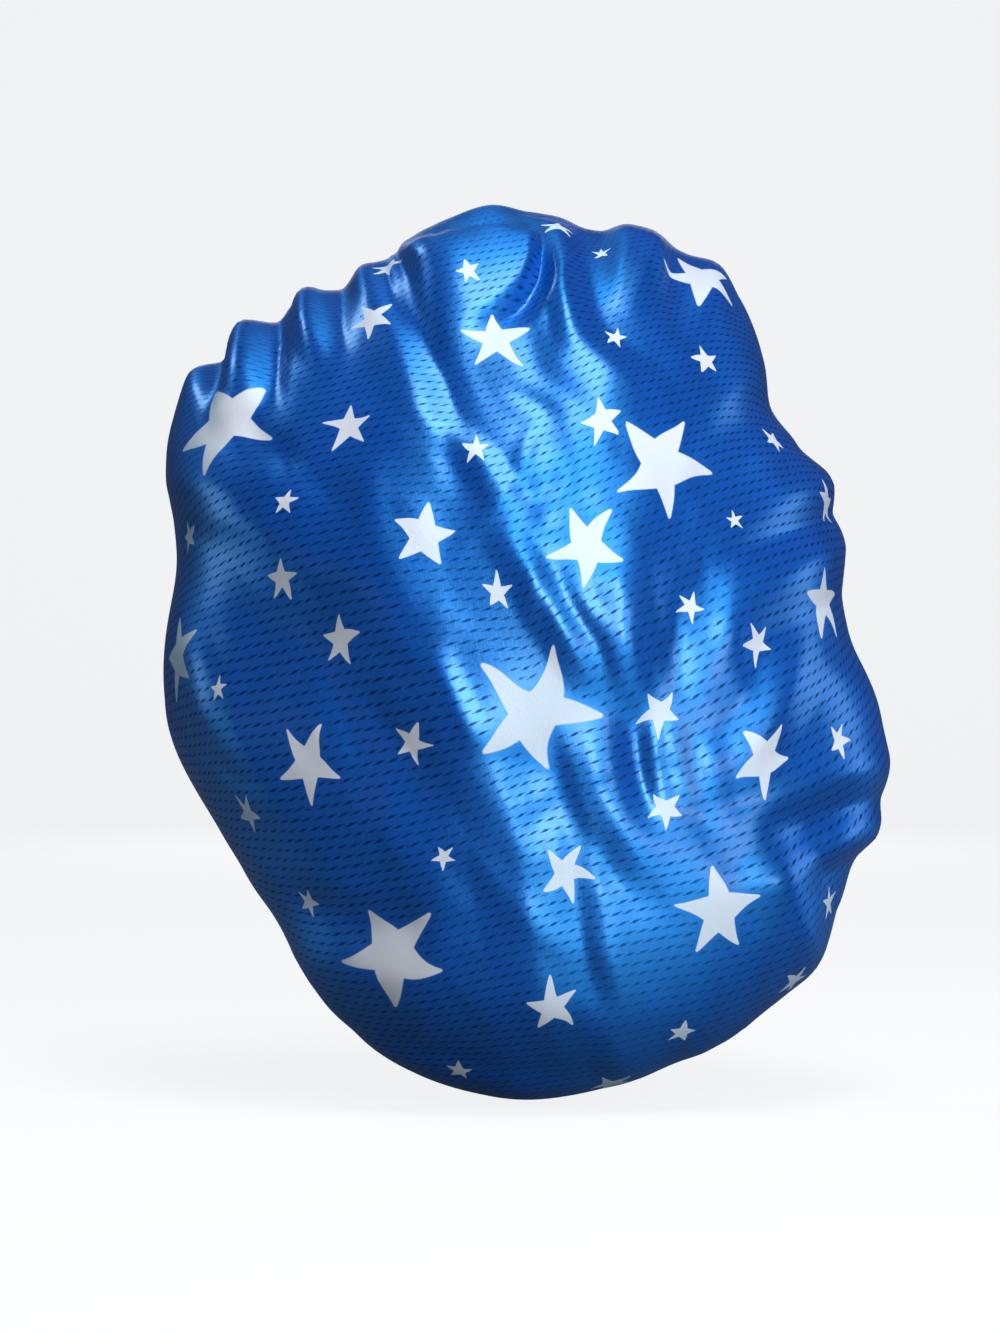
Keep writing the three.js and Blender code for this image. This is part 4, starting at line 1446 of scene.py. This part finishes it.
def sewn_path(sizes, turn, outward, inward, side):
    """Points of the band with their outward directions, side 1 outside and -1 inside."""
    here = loop_point(sizes, turn, outward, inward)
    proud = loop_point(sizes, turn, outward + side * MM, inward)
    return [(Vector(p), Vector(q - p).normalized()) for p, q in zip(here, proud)]


def ring_path(sizes, count, outward_at, inward, side):
    """A sewn path of even steps round the loop."""
    turn = np.linspace(0, TURN, RING_STEPS * count + 1)
    points = loop_point(sizes, turn, outward_at(turn), inward)
    lengths = np.concatenate([[0], np.cumsum(np.linalg.norm(np.diff(points, axis=0), axis=1))])
    even = np.interp(np.arange(count) / count * lengths[-1], lengths, turn)
    return sewn_path(sizes, even, outward_at(even), inward, side)


def stitch_count(sizes):
    around = math.pi / 2 * (sizes.opening_length + sizes.opening_width)
    return round(around / sizes.stitch_length)


class BONNET_OT_stitching(bpy.types.Operator):
    """Sew the band: topstitching, gathering thread, the elastic's zigzag and the band's closing row"""

    bl_idname = "bonnet.stitching"
    bl_label = "Stitching"

    def execute(self, context):
        sizes, colours = context.scene.bonnet_sizes, context.scene.bonnet_colours
        section = band_section(sizes)
        radius = sizes.thread_diameter / 2
        blue = sewing_thread("Blue Thread", colours.blue_thread)
        white = sewing_thread("White Thread", colours.white_thread)
        count = stitch_count(sizes)
        for node, side in (("topstitch_needle_thread", 1), ("topstitch_bobbin_thread", -1)):
            path = ring_path(
                sizes, count,
                lambda turn: band_leg(sizes, turn, section.stitch_line, side) + side * radius,
                section.stitch_line, side,
            )
            dress(stitch_row(node.replace("_thread", "_row"), sizes, path, True), blue, "blue_thread", node)
        rest = LAYER_GAP / 2 * MM + sizes.satin_thickness + CLEARANCE * MM + radius
        depth = (section.allowance_end + section.mouth) / 2
        path = ring_path(sizes, count // 2, lambda turn: rest + 0 * turn, depth, 1)
        gathering = stitch_row("gathering_row", sizes, path, True)
        dress(gathering, blue, "blue_thread", "gathering_thread")
        dress(self.zigzag(sizes), white, "white_thread", "elastic_bartack")
        dress(self.closing_row(sizes, section, radius), blue, "blue_thread", "band_join_stitch")
        return {"FINISHED"}

    def zigzag(self, sizes, legs=8, stitches_a_leg=6, inset=3):
        overlap_turn = (sizes.elastic_overlap - 2 * inset * MM) / (sizes.opening_width / 2)
        reach = sizes.elastic_width / 2 - inset * MM
        outward = sizes.elastic_thickness + (LAYER_GAP / 2 + CLEARANCE) * MM + sizes.thread_diameter / 2
        share = np.linspace(0, 1, legs * stitches_a_leg + 1)
        turn = NAPE + overlap_turn * (share - 0.5)
        inward = reach * (2 * np.abs(np.mod(share * legs, 2) - 1) - 1)
        return stitch_row("elastic_zigzag", sizes, sewn_path(sizes, turn, outward, inward, 1), False)

    def closing_row(self, sizes, section, radius, stitches=7):
        inward = np.linspace(section.stitch_line - STITCH_INSET * MM, section.fold_centre, stitches + 1)
        turn = np.full(len(inward), NAPE)
        skin = np.array([band_leg(sizes, np.array([NAPE]), depth, -1)[0] for depth in inward]) - radius
        return stitch_row("band_closing_row", sizes, sewn_path(sizes, turn, skin, inward, -1), False)


# The stage in metres, and the camera's sensor in millimetres.
FLOOR_SIZE = 9.0
FLOOR_DROP = 0.002
BACKDROP_Y = 3.4
BACKDROP_HEIGHT = 3.0
BACKDROP_BEND = 0.9
BEND_SEGMENTS = 24
EDGE_REACH = 0.1
FRAME_HEIGHT_PX = 1333
PX_PER_MM = 2.29
SENSOR = 36
WORLD_COLOUR = (0.95, 0.97, 1, 1)
WORLD_PALE = 0.82
WORLD_LIGHT = 0.08
EDGE_TINT = (0.5, 0.8, 1)


class SoftLight(NamedTuple):
    """A soft lamp: its place and aim, width and height in metres, and power in watts."""

    name: str
    place: tuple
    aim: tuple
    width: float
    height: float
    power: float
    colour: tuple = (1, 1, 1)


SOFT_LIGHTS = (
    SoftLight("key_light", (0.62, -1.9, 0.15), (0, -0.1, -0.04), 0.5, 1.6, 41),
    SoftLight("high_light", (0.2, -0.75, 1.6), (0, -0.1, 0.05), 0.7, 1.1, 26),
    SoftLight("side_light", (1.6, 0.45, 0), (0, -0.1, -0.06), 0.6, 1.2, 7, EDGE_TINT),
    SoftLight("low_light", (1.45, -1.5, -0.05), (0, -0.1, -0.12), 0.5, 0.3, 5.5),
    SoftLight("top_light", (-1, 0.9, 1.2), (-0.08, -0.05, 0.08), 0.3, 0.3, 5, EDGE_TINT),
    SoftLight("left_light", (-1.6, 0.35, -0.3), (0, -0.1, -0.1), 0.6, 1.2, 7, EDGE_TINT),
    SoftLight("left_fill", (-1.7, -1.2, -0.05), (0, -0.1, -0.15), 1.4, 0.3, 0.6),
    SoftLight("front_light", (0, 2.6, 0.35), (0, 0, -0.05), 0.9, 0.9, 5),
)


class BONNET_OT_stage(bpy.types.Operator):
    """Make the floor with its curved backdrop, the soft lights and the camera"""

    bl_idname = "bonnet.stage"
    bl_label = "Stage"

    def execute(self, context):
        self.floor(context)
        self.lights(context)
        self.camera(context)
        context.scene.view_settings.view_transform = "Standard"
        return {"FINISHED"}

    def floor(self, context):
        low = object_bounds()[0]
        start_clean()
        middle = (0, BACKDROP_Y - FLOOR_SIZE / 2, low.z - FLOOR_DROP)
        bpy.ops.mesh.primitive_plane_add(size=FLOOR_SIZE, location=middle)
        floor = context.object
        floor.name = "studio_floor"
        bpy.ops.object.transform_apply(location=True)
        mesh = floor.data
        for vertex in mesh.vertices:
            vertex.select = vertex.co.y > BACKDROP_Y - EDGE_REACH
        for polygon in mesh.polygons:
            polygon.select = False
        for edge in mesh.edges:
            edge.select = all(mesh.vertices[v].select for v in edge.vertices)
        bpy.ops.object.mode_set(mode="EDIT")
        bpy.ops.mesh.select_mode(type="EDGE")
        bpy.ops.mesh.extrude_region_move(TRANSFORM_OT_translate={"value": (0, 0, BACKDROP_HEIGHT)})
        bpy.ops.object.mode_set(mode="OBJECT")
        for edge in mesh.edges:
            ends = [mesh.vertices[v].co for v in edge.vertices]
            edge.select = all(abs(p.y - BACKDROP_Y) < EDGE_REACH and p.z < low.z for p in ends)
        bpy.ops.object.mode_set(mode="EDIT")
        bpy.ops.mesh.bevel(offset=BACKDROP_BEND, segments=BEND_SEGMENTS, affect="EDGES")
        bpy.ops.mesh.select_all(action="SELECT")
        bpy.ops.mesh.normals_make_consistent(inside=False)
        bpy.ops.object.mode_set(mode="OBJECT")
        bpy.ops.object.shade_smooth()
        mesh.materials.append(studio_paper(context.scene.bonnet_colours))
        floor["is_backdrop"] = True

    def lights(self, context):
        world = context.scene.world or bpy.data.worlds.new("Studio")
        context.scene.world = world
        world.use_nodes = True
        background = world.node_tree.nodes["Background"]
        bench = NodeBench(world.node_tree)
        glow = bench.math("MULTIPLY_ADD", seen_directly(bench), WORLD_PALE, WORLD_LIGHT)
        bench.fill(background, {"Color": WORLD_COLOUR, "Strength": glow})
        for soft in SOFT_LIGHTS:
            light = bpy.data.lights.new(soft.name, "AREA")
            light.shape = "RECTANGLE"
            light.size = soft.width
            light.size_y = soft.height
            light.energy = soft.power
            light.color = soft.colour
            lamp = bpy.data.objects.new(soft.name, light)
            lamp.location = soft.place
            ahead = Vector(soft.aim) - Vector(soft.place)
            lamp.rotation_euler = ahead.to_track_quat("-Z", "Y").to_euler()
            context.scene.collection.objects.link(lamp)

    def camera(self, context):
        data = bpy.data.cameras.new("camera")
        data.sensor_width = SENSOR
        distance = OUTLINE_PLANE_Y - VIEW_POINT[1]
        data.lens = SENSOR * distance / (FRAME_HEIGHT_PX / PX_PER_MM)
        camera = bpy.data.objects.new("camera", data)
        camera.location = Vector(VIEW_POINT) * MM
        camera.rotation_euler = (math.pi / 2, 0, 0)
        context.scene.collection.objects.link(camera)
        context.scene.camera = camera


class BONNET_PT_panel(bpy.types.Panel):
    """Lists the bonnet's sizes, colours and pieces"""

    bl_idname = "BONNET_PT_panel"
    bl_label = "Hair Bonnet"
    bl_space_type = "VIEW_3D"
    bl_region_type = "UI"
    bl_category = "Bonnet"

    def draw(self, context):
        for group in (context.scene.bonnet_sizes, context.scene.bonnet_colours):
            box = self.layout.box()
            for name in group.__annotations__:
                box.prop(group, name)
        for operator in OPERATORS:
            self.layout.operator(operator.bl_idname)


OPERATORS = (
    BONNET_OT_outer_shell,
    BONNET_OT_lining,
    BONNET_OT_band,
    BONNET_OT_elastic,
    BONNET_OT_stitching,
    BONNET_OT_stage,
)
CLASSES = (BonnetSizes, BonnetColours, *OPERATORS, BONNET_PT_panel)


def register():
    for cls in CLASSES:
        bpy.utils.register_class(cls)
    bpy.types.Scene.bonnet_sizes = bpy.props.PointerProperty(type=BonnetSizes)
    bpy.types.Scene.bonnet_colours = bpy.props.PointerProperty(type=BonnetColours)


def unregister():
    del bpy.types.Scene.bonnet_colours
    del bpy.types.Scene.bonnet_sizes
    for cls in reversed(CLASSES):
        bpy.utils.unregister_class(cls)


def main():
    register()
    start_clean()
    bpy.ops.bonnet.outer_shell()
    bpy.ops.bonnet.lining()
    bpy.ops.bonnet.band()
    bpy.ops.bonnet.elastic()
    bpy.ops.bonnet.stitching()
    bpy.ops.bonnet.stage()


if __name__ == "__main__":
    main()
